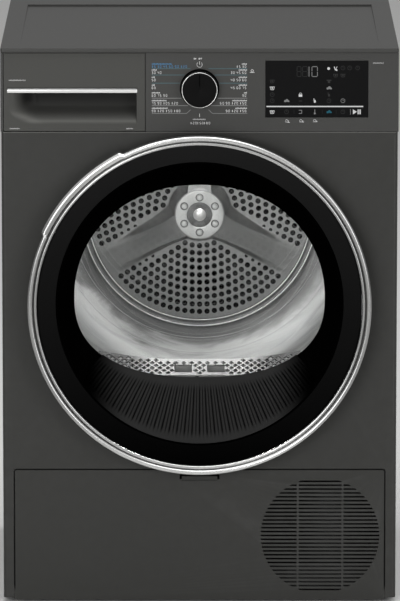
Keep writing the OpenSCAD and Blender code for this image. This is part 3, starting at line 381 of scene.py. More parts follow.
def make_frame_black():
    """The frame's deep black, with painted light that makes it a little lighter towards its top."""
    black = Finish("gloss_black")
    powder = black.powder(400.0, 8.0, 0.2)
    # painted light: darker at the frame's foot, lighter towards its top
    tone = black.span(black.axes()[2], DOOR_Z - RING_R, DOOR_Z + RING_R, 0.0004, 0.0130, "LINEAR")
    black.gloss(powder["Height"], 0.05, 0.40)
    return black.done((1.0, 1.0, 1.0), black.times(tone, powder["Tone"]),
                      powder["Height"], 0.000004, specular=0.0)


def make_drawer_plastic():
    """The drawer's moulding, with painted shade and painted highlights from the pocket attribute where the
    finger pocket sinks in.
    """
    drawer = Finish("drawer_moulding")
    powder = drawer.powder(1600.0, 6.0, 0.06)
    pocket = drawer.node("ShaderNodeAttribute", attribute_name="pocket")["Fac"]
    tone = drawer.times(pocket, powder["Tone"])
    drawer.gloss(drawer.less(powder["Height"], 0.5), 0.15, 0.42)
    return drawer.done((0.063, 0.063, 0.059), tone, powder["Height"], 0.00001, specular=0.10)


def make_apron_black():
    """A black moulding with painted shade in its grooves, and painted shade towards its sides, where it sinks
    into the bowl.
    """
    apron = Finish("apron_moulding")
    powder = apron.powder(900.0, 12.0, 0.2)
    # painted shade towards the sides of the bowl
    bowl_side_painted_shade = apron.span(apron.math("ABSOLUTE", apron.axes()[0]), 0.105, 0.168, 0.0235, 0.0004)
    groove = apron.node("ShaderNodeAttribute", attribute_name="groove")["Fac"]
    # clear: painted shade in the grooves, from the groove attribute
    clear = apron.less(1.0, apron.times(groove, 0.97))
    return apron.done(GREY, apron.times(apron.times(bowl_side_painted_shade, clear), powder["Tone"]),
                      powder["Height"], 0.00002, rough=0.5, specular=0.0)


def make_drum_steel():
    """Rolled steel with its tone painted light and shade: soft streaks of painted reflection that run round
    the drum, brightest low down and in front, with painted shade near the plate's rim and on its right-hand
    side.
    """
    drum = Finish("drum_steel")
    x, depth, z = drum.axes()
    down = drum.less(DRUM_Z, z)
    turn = drum.math("ARCTAN2", x, down)
    lay = drum.node("ShaderNodeCombineXYZ", {0: drum.times(turn, 1.3), 1: drum.times(depth, 68.0)})[0]
    streaks = drum.node("ShaderNodeTexNoise", {"Vector": lay, "Scale": 1.4, "Detail": 6.0,
                                               "Roughness": 0.58, "Distortion": 0.7})[0]
    fine = drum.node("ShaderNodeCombineXYZ", {0: drum.times(turn, 12.0), 1: drum.times(depth, 1400.0)})[0]
    spread = drum.less(streaks, 0.5)
    # right: painted shade over the drum's right-hand side
    right = drum.span(turn, 0.85, 1.35, 0.0, 0.024)
    drive = drum.less(drum.plus(drum.reach(x, down), drum.times(spread, 0.055)), right)
    # rise: painted shade near the plate's rim, brighter further out
    rise = drum.span(drive, 0.207, 0.231, 0.36, 1.0)
    band = drum.plus(drum.times(spread, 1.5), 0.94)
    tone = drum.node("ShaderNodeClamp", {0: drum.times(rise, band), "Min": 0.08, "Max": 1.0})[0]
    drum.gloss(streaks, 0.2, 0.36)
    return drum.done((0.46, 0.466, 0.46), tone, drum.group(BRUSHING, fine)["Height"], 0.000004, metal=1.0)


def make_rear_sheet():
    """Galvanised sheet, with a dark round patch of painted shade behind the drum."""
    sheet = Finish("rear_sheet")
    clouds = sheet.powder(300.0, 60.0, 1.0)
    x, y, z = sheet.axes()
    near = sheet.math("LESS_THAN", sheet.reach(x, sheet.less(z, DRUM_Z)), 0.232)
    # painted shade: a dark, non-metallic patch behind the drum, where shade falls
    painted_shade_patch = sheet.times(near, sheet.math("LESS_THAN", y, WALL + 0.0004))
    bare = sheet.tinted((0.52, 0.535, 0.54), clouds["Tone"])
    sheet.feed("Base Color", sheet.blend(painted_shade_patch, bare, (0.004, 0.004, 0.004)))
    sheet.feed("Metallic", sheet.less(1.0, painted_shade_patch))
    sheet.set(specular=0.02)
    sheet.gloss(sheet.less(clouds["Tone"], 1.0), 0.25, 0.45)
    return sheet.bump(clouds["Height"], 0.00002)


def make_felt():
    felt = Finish("wool_felt")
    powder = felt.powder(1500.0, 40.0, 0.5)
    return felt.done((0.55, 0.52, 0.46), powder["Tone"],
                     powder["Height"], 0.0004, rough=0.95, sheen_weight=0.4)


def make_glass():
    """Thin clear glass with a breath of smears in its gloss."""
    pane = Finish("door_glass")
    pane.set(base_color=(0.97, 0.98, 0.98, 1), transmission_weight=1.0, alpha=0.07)
    pane.shader.inputs["IOR"].default_value = 1.45
    pane.gloss(pane.less(pane.powder(60.0, 9.0, 1.0)["Tone"], 1.0), 0.004, 0.002)
    return pane.material


def make_board():
    """A circuit board with copper tracks."""
    card = Finish("circuit_board")
    powder = card.powder(500.0, 90.0, 1.0)
    tracks = card.node("ShaderNodeTexBrick", {
        "Vector": card.place, "Scale": 60.0, "Color1": (0.01, 0.09, 0.03, 1),
        "Color2": (0.015, 0.13, 0.05, 1), "Mortar": (0.25, 0.17, 0.06, 1), "Mortar Size": 0.01})
    card.feed("Base Color", card.tinted(tracks["Color"], powder["Tone"]))
    card.set(rough=0.4)
    return card.bump(tracks["Fac"], 0.00005)


def make_glow(name, colour):
    """A lit sign: it shows its own colour and hardly any light from outside."""
    lit = Finish(name)
    lit.feed("Emission Color", lit.tinted(colour, lit.powder(900.0, 300.0, 0.3)["Tone"]))
    lit.set(base_color=(0.01, 0.01, 0.01, 1), specular=0.05, emission_strength=1.0)
    return lit.material


ring_chrome = make_ring_chrome()
lattice_silver = make_lattice_silver()
strip_metal = make_strip_metal()
gloss_black = make_frame_black()
drawer_plastic = make_drawer_plastic()
apron_black = make_apron_black()
drum_steel = make_drum_steel()
rear_sheet = make_rear_sheet()
glow_white = make_glow("display_white", (0.60, 0.60, 0.60))
glow_mid = make_glow("display_mid", (0.20, 0.20, 0.20))
glow_grey = make_glow("display_dim", (0.022, 0.022, 0.022))
glow_teal = make_glow("display_teal", (0.008, 0.085, 0.12))

FINISH = {}
for coating, names in (
        (top_enamel, "top_panel"), (side_enamel, "side_panel_left side_panel_right"),
        (enamel, "front_panel kick_flap flap_latch"), (rear_sheet, "rear_panel"),
        (fascia_plastic, "control_panel"), (drawer_plastic, "tank_front"), (knob_black, "program_knob"),
        (display_black, "display_window"), (strip_metal, "tank_grip_trim"), (make_board(), "control_board"),
        (dark_moulding, "rear_duct_cover base_tray foot_front_left foot_front_right foot_rear_left "
                        "foot_rear_right mains_inlet tank_housing door_catch fan_housing idler_pulley "
                        "condensate_pump"),
        (pale_moulding, "water_tank front_bulkhead drum_lifters fan_impeller heat_exchanger_cover"),
        (inner_moulding, "door_inner_frame"), (ring_chrome, "door_trim_ring"),
        (gloss_black, "door_outer_frame"), (funnel_black, "door_funnel"), (apron_black, "door_ribbed_apron"),
        (make_glass(), "door_glass"), (rubber, "door_seal drum_belt roller_left roller_right"),
        (zinc, "cabinet_screws door_hinge_leaf hinge_bracket bearing_carrier idler_arm"),
        (flange_steel, "hinge_pin door_hook drum_hub hub_bolts motor_pulley idler_spring"),
        (make_felt(), "drum_felts"), (lattice_silver, "lint_filter"), (drum_steel, "drum_shell"),
        (plate_steel, "drum_back"), (motor_paint, "drive_motor compressor"),
        (coil_metal, "heat_exchanger"), (blue_lever, "cover_lever_left cover_lever_right")):
    for name in names.split():
        FINISH[name] = coating
        nodes[name].data.materials.clear()
        nodes[name].data.materials.append(coating)


# ---------------------------------------------------------------- making meshes

def smoothstep(t):
    t = min(max(t, 0.0), 1.0)
    return t * t * (3 - 2 * t)


def polar(r, degrees, x=0.0, z=0.0):
    """A point at a distance and an angle from another point."""
    return x + r * math.cos(math.radians(degrees)), z + r * math.sin(math.radians(degrees))


def arc(centre, radius, start, end, steps):
    """Points of a circle's arc in (radius, y) or (x, z)."""
    return [polar(radius, start + (end - start) * i / steps, *centre) for i in range(steps + 1)]


def rounded(corners, radius):
    """A closed outline with each corner rounded."""
    steps, result = 4, []
    for i, corner in enumerate(corners):
        here = Vector(corner)
        before, after = Vector(corners[i - 1]) - here, Vector(corners[(i + 1) % len(corners)]) - here
        cut = min(radius, before.length * 0.45, after.length * 0.45)
        a, b = here + before.normalized() * cut, here + after.normalized() * cut
        for k in range(steps + 1):
            t = k / steps
            result.append(tuple(a * (1 - t) ** 2 + here * 2 * t * (1 - t) + b * t ** 2))
    return result


def net(rows, columns, base=0, wrap=False, round_rows=False):
    """Quads between rows of points. wrap joins a row's two ends, round_rows the last row to the first."""
    for k in range(rows if round_rows else rows - 1):
        a, b = base + k * columns, base + (k + 1) % rows * columns
        for i in range(columns if wrap else columns - 1):
            j = (i + 1) % columns
            yield a + i, a + j, b + j, b + i


def shell(rows, columns, wrap=False):
    """Two nets of points, one behind the other, joined along their edges."""
    layer = rows * columns
    faces = [*net(rows, columns, 0, wrap), *net(rows, columns, layer, wrap)]
    if not wrap:
        for a in (k * columns + i for k in range(rows - 1) for i in (0, columns - 1)):
            faces.append((a, a + columns, a + columns + layer, a + layer))
    for k in (0, rows - 1):
        for i in range(columns if wrap else columns - 1):
            a, b = k * columns + i, k * columns + (i + 1) % columns
            faces.append((a, b, layer + b, layer + a))
    return faces


def mesh_from(name, points, faces):
    mesh = bpy.data.meshes.new(name)
    mesh.from_pydata([tuple(p) for p in points], [], [tuple(f) for f in faces])
    mesh.validate()
    mesh.update()
    return mesh


def close_up(mesh, weld=0.0):
    """Merges doubled points and turns every face outwards."""
    work = bmesh.new()
    work.from_mesh(mesh)
    if weld:
        bmesh.ops.remove_doubles(work, verts=work.verts, dist=weld)
    bmesh.ops.recalc_face_normals(work, faces=work.faces)
    work.to_mesh(mesh)
    work.free()
    return mesh


def mark_sharp(mesh, degrees):
    """Edges that turn by more than this stay crisp."""
    work = bmesh.new()
    work.from_mesh(mesh)
    limit = math.radians(degrees)
    for edge in work.edges:
        edge.smooth = len(edge.link_faces) == 2 and edge.calc_face_angle(0.0) < limit
    work.to_mesh(mesh)
    work.free()


def in_scene(name, data):
    """A new object in the scene."""
    made = bpy.data.objects.new(name, data)
    bpy.context.scene.collection.objects.link(made)
    return made


def settled(holder, name):
    """The plain mesh of an object after its modifiers; the object itself goes."""
    bpy.context.view_layer.update()
    mesh = bpy.data.meshes.new_from_object(holder.evaluated_get(bpy.context.evaluated_depsgraph_get()))
    mesh.name = name
    holder.modifiers.clear()
    bpy.data.objects.remove(holder)
    return mesh


def finish_mesh(name, mesh, material, body, stands_for=(), smooth=None):
    """Links a finished mesh as a piece that rides on a body."""
    piece = in_scene(name, mesh)
    if material is not None and not mesh.materials:
        mesh.materials.append(material)
    if smooth is not None:
        mesh.shade_smooth()
        mark_sharp(mesh, smooth)
    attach(piece, body)
    if stands_for:
        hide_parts(*stands_for)
    return piece


def softened(node, width, smooth):
    """A merged, smooth copy of a CAD node, with its sharp edges rounded, which stands for the node."""
    source = nodes[node]
    work = bmesh.new()
    work.from_mesh(source.data)
    bmesh.ops.remove_doubles(work, verts=work.verts, dist=0.00002)
    if width:
        bmesh.ops.dissolve_limit(work, angle_limit=math.radians(1.0), verts=work.verts, edges=work.edges)
        sharp = [e for e in work.edges
                 if len(e.link_faces) == 2 and e.calc_face_angle(0.0) > math.radians(30)]
        bmesh.ops.bevel(work, geom=sharp, offset=width, offset_type="OFFSET", segments=2, profile=0.5,
                        affect="EDGES", clamp_overlap=True)
        bmesh.ops.triangulate(work, faces=[f for f in work.faces if len(f.verts) > 4])
    low, high = ([pick(v.co[axis] for v in source.data.vertices) for axis in range(3)] for pick in (min, max))
    for v in work.verts:
        v.co = [min(max(v.co[axis], low[axis]), high[axis]) for axis in range(3)]
    mesh = bpy.data.meshes.new(node + "_draft")
    work.to_mesh(mesh)
    work.free()
    mesh.shade_smooth()
    mark_sharp(mesh, smooth)
    draft = in_scene(node + "_draft", mesh)
    even = draft.modifiers.new("even_shade", "WEIGHTED_NORMAL")
    even.keep_sharp = True
    even.weight = 50
    name = node + "_soft"
    return finish_mesh(name, settled(draft, name), FINISH[node], source["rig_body"], [node])


def lathe(name, profile, centre_z, material, body, stands_for, segments=240, smooth=40,
          profile_at=None):
    """A closed outline of (radius, y) turned about the Y axis through z = centre_z. profile_at may give
    another outline of the same length for an angle in degrees, counted from +X to +Z."""
    points = []
    for i in range(segments):
        turn = 360.0 * i / segments
        c, s = polar(1.0, turn)
        points += [(r * c, y, centre_z + r * s)
                   for r, y in (profile_at(turn, profile) if profile_at else profile)]
    mesh = mesh_from(name, points, net(segments, len(profile), wrap=True, round_rows=True))
    return finish_mesh(name, close_up(mesh, WELD), material, body, stands_for, smooth)


# ---------------------------------------------------------------- repeats, with geometry nodes

def build_ring_tree():
    """Copies of a piece round a circle that faces the front."""
    tree = bpy.data.node_groups.new("pieces_on_ring", "GeometryNodeTree")
    for label, kind in (("Piece", "Object"), ("Count", "Int"), ("Radius", "Float"), ("Start", "Float"),
                        ("Step", "Float"), ("Centre", "Vector"), ("Finish", "Material")):
        tree.interface.new_socket(label, in_out="INPUT", socket_type="NodeSocket" + kind)
    tree.interface.new_socket("Geometry", in_out="OUTPUT", socket_type="NodeSocketGeometry")
    start, end = tree.nodes.new("NodeGroupInput").outputs, tree.nodes.new("NodeGroupOutput")
    points = add(tree, "GeometryNodePoints", {"Count": start["Count"]}).outputs[0]
    index = add(tree, "GeometryNodeInputIndex").outputs[0]
    angle = math_node(tree, "ADD", start["Start"], times(tree, index, start["Step"]))
    across = times(tree, start["Radius"], math_node(tree, "COSINE", angle))
    up = times(tree, start["Radius"], math_node(tree, "SINE", angle))
    offset = add(tree, "ShaderNodeCombineXYZ", {0: across, 2: up})
    place = add(tree, "ShaderNodeVectorMath", {0: offset.outputs[0], 1: start["Centre"]}, operation="ADD")
    moved = add(tree, "GeometryNodeSetPosition", {"Geometry": points, "Position": place.outputs[0]})
    source = add(tree, "GeometryNodeObjectInfo", {"Object": start["Piece"]}, transform_space="ORIGINAL")
    turn = add(tree, "ShaderNodeCombineXYZ", {1: times(tree, angle, -1.0)})
    copies = add(tree, "GeometryNodeInstanceOnPoints", {
        "Points": moved.outputs[0], "Instance": source.outputs["Geometry"], "Rotation": turn.outputs[0]})
    real = add(tree, "GeometryNodeRealizeInstances", {"Geometry": copies.outputs[0]})
    done = add(tree, "GeometryNodeSetMaterial", {"Geometry": real.outputs[0], "Material": start["Finish"]})
    join(tree, end.inputs[0], done.outputs[0])
    return tree


RING_TREE = build_ring_tree()


def repeat_round(name, piece, material, body, stands_for, **inputs):
    """Runs the ring tree once and keeps its result as a plain mesh."""
    template = in_scene(name + "_template", piece)
    holder = in_scene(name + "_holder", bpy.data.meshes.new(name + "_holder"))
    modifier = holder.modifiers.new("repeat", "NODES")
    modifier.node_group = RING_TREE
    sockets = {s.name: s.identifier for s in RING_TREE.interface.items_tree if s.in_out == "INPUT"}
    for label, value in {"Piece": template, "Finish": material, **inputs}.items():
        modifier[sockets[label]] = value
    mesh = settled(holder, name)
    bpy.data.objects.remove(template)
    return finish_mesh(name, mesh, None, body, stands_for, 40)


def turned_mesh(name, profile, segments):
    """A small closed turn about the Y axis at the origin, from a list of (radius, y)."""
    points = [(x, y, z) for r, y in profile
              for x, z in (polar(r, 360 * i / segments) for i in range(segments))]
    ends = [tuple(k * segments + i for i in range(segments)) for k in (0, len(profile) - 1)]
    return close_up(mesh_from(name, points, [*net(len(profile), segments, wrap=True), *ends]), WELD)


# ---------------------------------------------------------------- the door

def ring_profile():
    """The trim ring in (radius, y): an outer bead, a groove and an inner bead."""
    points = [(RING_R, RING_SEAT), (RING_R, RING_FRONT + OUTER_BEAD + 0.002)]
    points += arc((RING_R - OUTER_BEAD, RING_FRONT + OUTER_BEAD), OUTER_BEAD, 0, -180, 14)
    points += [(RING_R - 2 * OUTER_BEAD - 0.0001, RING_FRONT + GROOVE_DEEP),
               (RING_IN + 2 * INNER_BEAD + 0.0001, RING_FRONT + GROOVE_DEEP)]
    points += arc((RING_IN + INNER_BEAD, RING_FRONT + INNER_BEAD + 0.002), INNER_BEAD, 0, -180, 10)
    return points + [(RING_IN, RING_SEAT)]


def handle_profile():
    """The same count of points as the ring's, with a broad crowned grip that stands out."""
    outer, inner = RING_R + 0.0047, RING_R - 2 * OUTER_BEAD
    grip = [(outer, RING_SEAT), (outer, RING_FRONT + 0.0060)]
    for k in range(2, 17):
        t = (k - 1) / 15.5
        crown = abs(2 * t - 1) ** 2.4
        grip.append((outer + (inner - outer) * t, RING_FRONT + 0.0011 + 0.0042 * crown))
    return grip + ring_profile()[17:]


def by_hinge(turn):
    """Whether an angle on the door lies beside its hinge."""
    x, z = polar(RING_R, turn)
    return abs(z) < NOTCH_HALF and x > 0


def ring_at(turn, profile):
    """The ring's outline at an angle: the grip has short steep ends, and the hinge side has a notch."""
    start, end = HANDLE
    edge = 0.9
    share = min(max((turn - start) / edge, 0.0), max((end - turn) / edge, 0.0), 1.0)
    if share > 0.0:
        return [(a[0] + (b[0] - a[0]) * share, a[1] + (b[1] - a[1]) * share)
                for a, b in zip(profile, handle_profile())]
    return [(r, min(y, RING_FRONT + 0.007)) for r, y in profile] if by_hinge(turn) else profile


def frame_at(turn, profile):
    """The outer frame keeps clear of the hinge on its right side."""
    return [(min(r, RING_IN - 0.0012), y) for r, y in profile] if by_hinge(turn) else profile


def window_point(a):
    """The clear window's outline about the door's middle: a squared oval, flatter below."""
    c, s = math.cos(a), math.sin(a)
    power, high = (2 / 2.1, WINDOW_UP) if s > 0 else (2 / 2.4, WINDOW_DOWN)
    return (WINDOW_HALF * math.copysign(abs(c) ** power, c),
            high * math.copysign(abs(s) ** power, s) - WINDOW_DROP)


def funnel_table():
    """Radius against angle of the funnel at even depths: the circle in front shrinks to the window."""
    window = np.array([window_point(a) for a in np.linspace(0, 2 * math.pi, 1441)])
    along = np.gradient(window, axis=0)
    normal = np.unwrap(np.arctan2(-along[:, 0], along[:, 1]))
    circle = np.stack([np.cos(normal), np.sin(normal)], 1) * (FUNNEL_R - 0.0002)
    table = []
    for k in range(FUNNEL_ROWS + 1):
        t = k / FUNNEL_ROWS
        x, z = (circle * (1 - t) + window * t).T
        turn, radius = np.unwrap(np.arctan2(z, x)), np.hypot(x, z)
        turn = np.concatenate([turn[:-1] - 2 * math.pi, turn[:-1], turn + 2 * math.pi])
        radius = np.concatenate([radius[:-1], radius[:-1], radius])
        order = np.argsort(turn)
        table.append(np.interp(np.radians(np.arange(0, 361, 1.0)), turn[order], radius[order]))
    return np.array(table)


FUNNEL = funnel_table()


def funnel_point(degrees, t, inset):
    """A point on the funnel's wall, t from 0 in front to 1 at the glass."""
    x = degrees % 360
    i, k = int(x), min(int(t * FUNNEL_ROWS), FUNNEL_ROWS - 1)
    f, g = x - i, t * FUNNEL_ROWS - k
    front, back = (FUNNEL[row][i] * (1 - f) + FUNNEL[row][i + 1] * f for row in (k, k + 1))
    x, z = polar(front * (1 - g) + back * g - inset, degrees, 0.0, DOOR_Z)
    return x, FUNNEL_START + (GLASS_Y - FUNNEL_START) * t, z


def make_funnel():
    count = 240
    points = [funnel_point(360 * i / count, k / FUNNEL_ROWS, wall)
              for wall in (0.0025, 0.0) for k in range(FUNNEL_ROWS + 1) for i in range(count)]
    mesh = close_up(mesh_from("door_bowl", points, shell(FUNNEL_ROWS + 1, count, wrap=True)))
    finish_mesh("door_bowl", mesh, funnel_black, "door", ["door_funnel"], 40)


def make_apron():
    """The lower part of the bowl: a ribbed facing with grooves that fan out from the window; its groove
    attribute carries painted shade for the grooves.
    """
    columns, rows = 552, 30
    points, groove = [], []
    for front in (False, True):
        for k in range(rows + 1):
            share = 0.985 * k / rows
            lift = smoothstep(share / 0.16)
            reach = smoothstep((share - 0.05) / 0.12) * smoothstep((0.90 - share) / 0.12)
            for i in range(columns + 1):
                side = APRON_HALF * (2 * i / columns - 1)
                off = abs((side + APRON_PITCH / 2) % APRON_PITCH - APRON_PITCH / 2)
                here = reach if abs(side) < APRON_HALF - 1 else 0.0
                cut = math.exp(-(off / 0.40) ** 2) * here
                thin = 0.95 * math.exp(-((APRON_PITCH / 2 - off) / 0.27) ** 2) * here
                inset = 0.0031 + 0.0019 * lift - 0.0014 * cut if front else 0.0027
                points.append(funnel_point(side - 90, share, inset))
                # groove: painted shade for the grooves and the thin lines beside them
                groove.append(max(cut, thin) if front else 0.0)
    mesh = mesh_from("door_apron", points, shell(rows + 1, columns + 1))
    mesh.attributes.new("groove", "FLOAT", "POINT").data.foreach_set("value", groove)
    finish_mesh("door_apron", close_up(mesh), apron_black, "door", ["door_ribbed_apron"], 50)


lathe("door_ring", ring_profile(), DOOR_Z, ring_chrome, "door", ["door_trim_ring"], 720, 50, ring_at)
lathe("door_dark_frame", rounded([
    (RING_R - 0.0026, FRONT - 0.003), (RING_R - 0.0026, RING_SEAT + 0.0001),
    (RING_IN - 0.0004, RING_SEAT + 0.0001), (RING_IN - 0.0004, RING_FRONT + 0.009),
    (RING_IN - 0.003, RING_FRONT + 0.009), (FUNNEL_R, FRONT - 0.018), (FUNNEL_R, FRONT - 0.014),
    (FUNNEL_R + 0.0024, FRONT - 0.014), (RING_IN - 0.0034, RING_FRONT + 0.0135),
    (RING_IN - 0.0034, RING_SEAT + 0.003), (RING_R - 0.0056, RING_SEAT + 0.003),
    (RING_R - 0.0056, FRONT - 0.003)], 0.0006), DOOR_Z, gloss_black, "door", ["door_outer_frame"],
    profile_at=frame_at)
make_funnel()
make_apron()


# ---------------------------------------------------------------- the control panel

def fascia_y(z):
    """The bowed face of the control panel."""
    t = min(max((z - FASCIA_Z) / FASCIA_H, 0.0), 1.0)
    return FRONT + FASCIA_SETBACK * t * t


def pocket_depth(x, z):
    """How deep the finger pocket is: round below, running out softly on its left side."""
    left, right = GRIP_LEFT + 0.0025, GRIP_RIGHT - 0.0006
    down = GRIP_Z - z
    if down < 0 or not left < x < right:
        return 0.0
    deep = POCKET_DEEP * math.sqrt(max(1.0 - (down / POCKET_TALL) ** 2, 0.0))
    corner = math.hypot(max(left + 0.046 - x, 0.0) / 0.046, max(down - 0.020, 0.0) / 0.030)
    return deep * smoothstep((1.0 - corner) / 0.95) * smoothstep((right - x) / 0.0012)


def pocket_shade(x, z, deep):
    """Painted light for the pocket: painted shade under the grip, a painted highlight at its left and a
    painted highlight along its lower rim.
    """
    low = min(max((GRIP_Z - z) / POCKET_TALL, 0.0), 1.0)
    value = float(np.interp(low, (0.0, 0.3, 0.5, 0.65, 0.8, 0.93, 1.0),
                            (0.12, 0.18, 0.42, 0.60, 0.72, 1.15, 1.0)))
    shade = 1.0 + smoothstep(deep / 0.016) * (value - 1.0)
    if deep > 0:
        aside, under = x + 0.2673 - 0.10 * (low - 0.76), low - 0.80
        shade += 0.75 * math.exp(-(aside / 0.011) ** 2 - (under / 0.17) ** 2)
        shade += 0.9 * math.exp(-((low - 0.94) / 0.05) ** 2) * min(deep / 0.002, 1.0)
    return shade


def lines_between(stops):
    """Grid lines from (place, spacing) pairs: each spacing holds up to the next place."""
    result = []
    for (here, step), after in zip(stops, stops[1:]):
        count = max(1, round((after[0] - here) / step))
        result += [here + (after[0] - here) * i / count for i in range(count)]
    return result + [stops[-1][0]]


def make_drawer_front():
    """The drawer's face as one net, with the finger pocket and the seat of the grip strip pressed in."""
    top, bottom, edge, tiny = FASCIA_TOP - 0.00035, FASCIA_Z + 0.00035, 0.0010, 0.00004
    seat = (GRIP_Z - 0.0003, GRIP_Z + GRIP_H + 0.0003)
    across = lines_between([
        (DRAWER_LEFT, 0.0002), (DRAWER_LEFT + edge, 0.001), (GRIP_LEFT, 0.0012), (GRIP_LEFT + 0.045, 0.004),
        (GRIP_RIGHT - 0.003, 0.0003), (GRIP_RIGHT - tiny, tiny), (GRIP_RIGHT + tiny, 0.0015),
        (DRAWER_RIGHT - edge, 0.0002), (DRAWER_RIGHT, 1.0)])
    up = lines_between([
        (bottom, 0.0002), (bottom + edge, 0.0015), (GRIP_Z - 0.0474, 0.0003), (GRIP_Z - 0.044, 0.0011),
        (seat[0] - tiny, tiny), (seat[0] + tiny, 0.002), (seat[1] - tiny, tiny), (seat[1] + tiny, 0.004),
        (top - edge, 0.0002), (top, 1.0)])
    points, shade = [], []
    for z in up:
        for x in across:
            gap = min(x - DRAWER_LEFT, DRAWER_RIGHT - x, z - bottom, top - z)
            round_edge = edge - math.sqrt(max(edge ** 2 - max(edge - gap, 0.0) ** 2, 0.0))
            deep = pocket_depth(x, z)
            if seat[0] < z < seat[1] and GRIP_LEFT < x < GRIP_RIGHT:
                deep = 0.0070
            points.append((x, fascia_y(z) + round_edge + deep, z))
            # painted shade and painted highlights of the finger pocket, kept as the pocket attribute
            shade.append(pocket_shade(x, z, deep) if z < seat[0] else 1.0)
    wide, tall = len(across), len(up)
    border = [*range(wide), *(k * wide + wide - 1 for k in range(1, tall))]
    border += [(tall - 1) * wide + i for i in reversed(range(wide - 1))]
    border += [k * wide for k in reversed(range(1, tall - 1))]
    base, count = len(points), len(border)
    points += [(points[q][0], FRONT + 0.0398, points[q][2]) for q in border]
    faces = [*net(tall, wide)]
    faces += [(border[(n + 1) % count], border[n], base + n, base + (n + 1) % count) for n in range(count)]
    faces.append(tuple(base + n for n in reversed(range(count))))
    mesh = mesh_from("drawer_face", points, faces)
    mesh.attributes.new("pocket", "FLOAT", "POINT").data.foreach_set("value", shade + [1.0] * count)
    finish_mesh("drawer_face", close_up(mesh), drawer_plastic, "tank_drawer", ["tank_front"], 40)


def make_grip_strip():
    """A long bar with a hollowed face, whose ends are drawn in a little."""
    face = []
    for i in range(15):
        t = i / 14
        hollow = 0.0013 * math.sin(math.pi * min(t / 1.3 + 0.05, 1.0))
        lip = 0.0022 * max(t - 0.55, 0.0) ** 2 / 0.2
        face.append((FRONT + 0.0010 - hollow + lip, GRIP_Z + GRIP_H * t))
    outline = face + [(FRONT + 0.0076, GRIP_Z + GRIP_H), (FRONT + 0.0076, GRIP_Z)]
    count, nose = len(outline), 0.0012
    middle_y, middle_z = (sum(p[axis] for p in outline) / count for axis in (0, 1))
    points = [(x, middle_y + (y - middle_y) * scale, middle_z + (z - middle_z) * scale)
              for x, scale in ((GRIP_LEFT, 0.72), (GRIP_LEFT + nose * 0.3, 0.92), (GRIP_LEFT + nose, 1.0),
                               (GRIP_RIGHT - nose, 1.0), (GRIP_RIGHT - nose * 0.3, 0.92), (GRIP_RIGHT, 0.72))
              for y, z in outline]
    ends = [tuple(range(start, start + count)) for start in (0, 5 * count)]
    mesh = close_up(mesh_from("grip_strip", points, [*net(6, count, wrap=True), *ends]))
    finish_mesh("grip_strip", mesh, strip_metal, "tank_drawer", ["tank_grip_trim"], 40)


make_drawer_front()
make_grip_strip()


class Print:
    """Flat marks gathered into one thin mesh that lies on a face."""

    def __init__(self, surface=fascia_y, proud=0.00012, thick=0.0001):
        self.points, self.faces = [], []
        self.surface, self.proud, self.thick = surface, proud, thick

    def shape(self, outline):
        """A convex outline of (x, z) points, counter-clockwise as seen from the front."""
        base, count = len(self.points), len(outline)
        for back in (0.0, self.thick):
            self.points += [(x, self.surface(z) - self.proud + back, z) for x, z in outline]
        self.faces.append(tuple(base + i for i in range(count)))
        self.faces.append(tuple(base + count + i for i in reversed(range(count))))
        for i in range(count):
            j = (i + 1) % count
            self.faces.append((base + i, base + count + i, base + count + j, base + j))

    def bar(self, x0, x1, z0, z1):
        self.shape([(x0, z0), (x1, z0), (x1, z1), (x0, z1)])

    def bars(self, x, z, count, pitch, width, low, high, beat):
        """Bars of uneven height, that stand for fine print."""
        for t in range(count):
            self.bar(x + t * pitch, x + t * pitch + width, z, z + low + high * ((t * beat) % 3) / 2)

    def line(self, a, b, width):
        ax, az, bx, bz = *a, *b
        length = math.hypot(bx - ax, bz - az) or 1e-9
        nx, nz = -(bz - az) / length * width / 2, (bx - ax) / length * width / 2
        self.shape([(ax - nx, az - nz), (bx - nx, bz - nz), (bx + nx, bz + nz), (ax + nx, az + nz)])

    def path(self, points, width):
        for a, b in zip(points, points[1:]):
            self.line(a, b, width)

    def dot(self, x, z, r, sides=16):
        self.shape([polar(r, 360 * i / sides, x, z) for i in range(sides)])

    def circle(self, x, z, r, width, start=0, end=360, sides=28):
        self.path(arc((x, z), r, start, end, sides), width)

    def digit(self, value, x, z, height, width, stroke):
        """A seven-segment digit with its lower left corner at x, z."""
        cells = {"0": "abcdef", "1": "bc", "2": "abged", "3": "abgcd", "4": "fgbc", "5": "afgcd",
                 "6": "afgedc", "7": "abc", "8": "abcdefg", "9": "gfabcd"}[value]
        right, mid, top = x + width, z + height / 2, z + height
        trim = stroke * 0.6
        runs = {"a": ((x + trim, top), (right - trim, top)), "g": ((x + trim, mid), (right - trim, mid)),
                "d": ((x + trim, z), (right - trim, z)), "f": ((x, mid + trim), (x, top - trim)),
                "b": ((right, mid + trim), (right, top - trim)), "e": ((x, z + trim), (x, mid - trim)),
                "c": ((right, z + trim), (right, mid - trim))}
        for cell in cells:
            self.line(*runs[cell], stroke)

    def number(self, text, x, z, height, stroke, middle=False):
        width = height * 0.52
        pitch = width + stroke * 2.4
        left = x - (pitch * len(text) - stroke * 2.4) / 2 if middle else x
        for i, value in enumerate(text):
            place = left + i * pitch
            if value == "1":
                self.line((place + width / 2, z), (place + width / 2, z + height), stroke)
            else:
                self.digit(value, place, z, height, width, stroke)

    def letters(self, x, z, height, stroke, shapes):
        """Marks drawn from straight strokes on a unit cell 0..2 wide and 0..2 high."""
        unit = height / 2
        for n, strokes in enumerate(shapes):
            left = x + n * height * 0.95
            for ax, az, bx, bz in strokes:
                self.line((left + ax * unit * 0.62, z + az * unit), (left + bx * unit * 0.62, z + bz * unit),
                          stroke)

    def make(self, name, material, body="cabinet"):
        finish_mesh(name, mesh_from(name, self.points, self.faces), material, body)


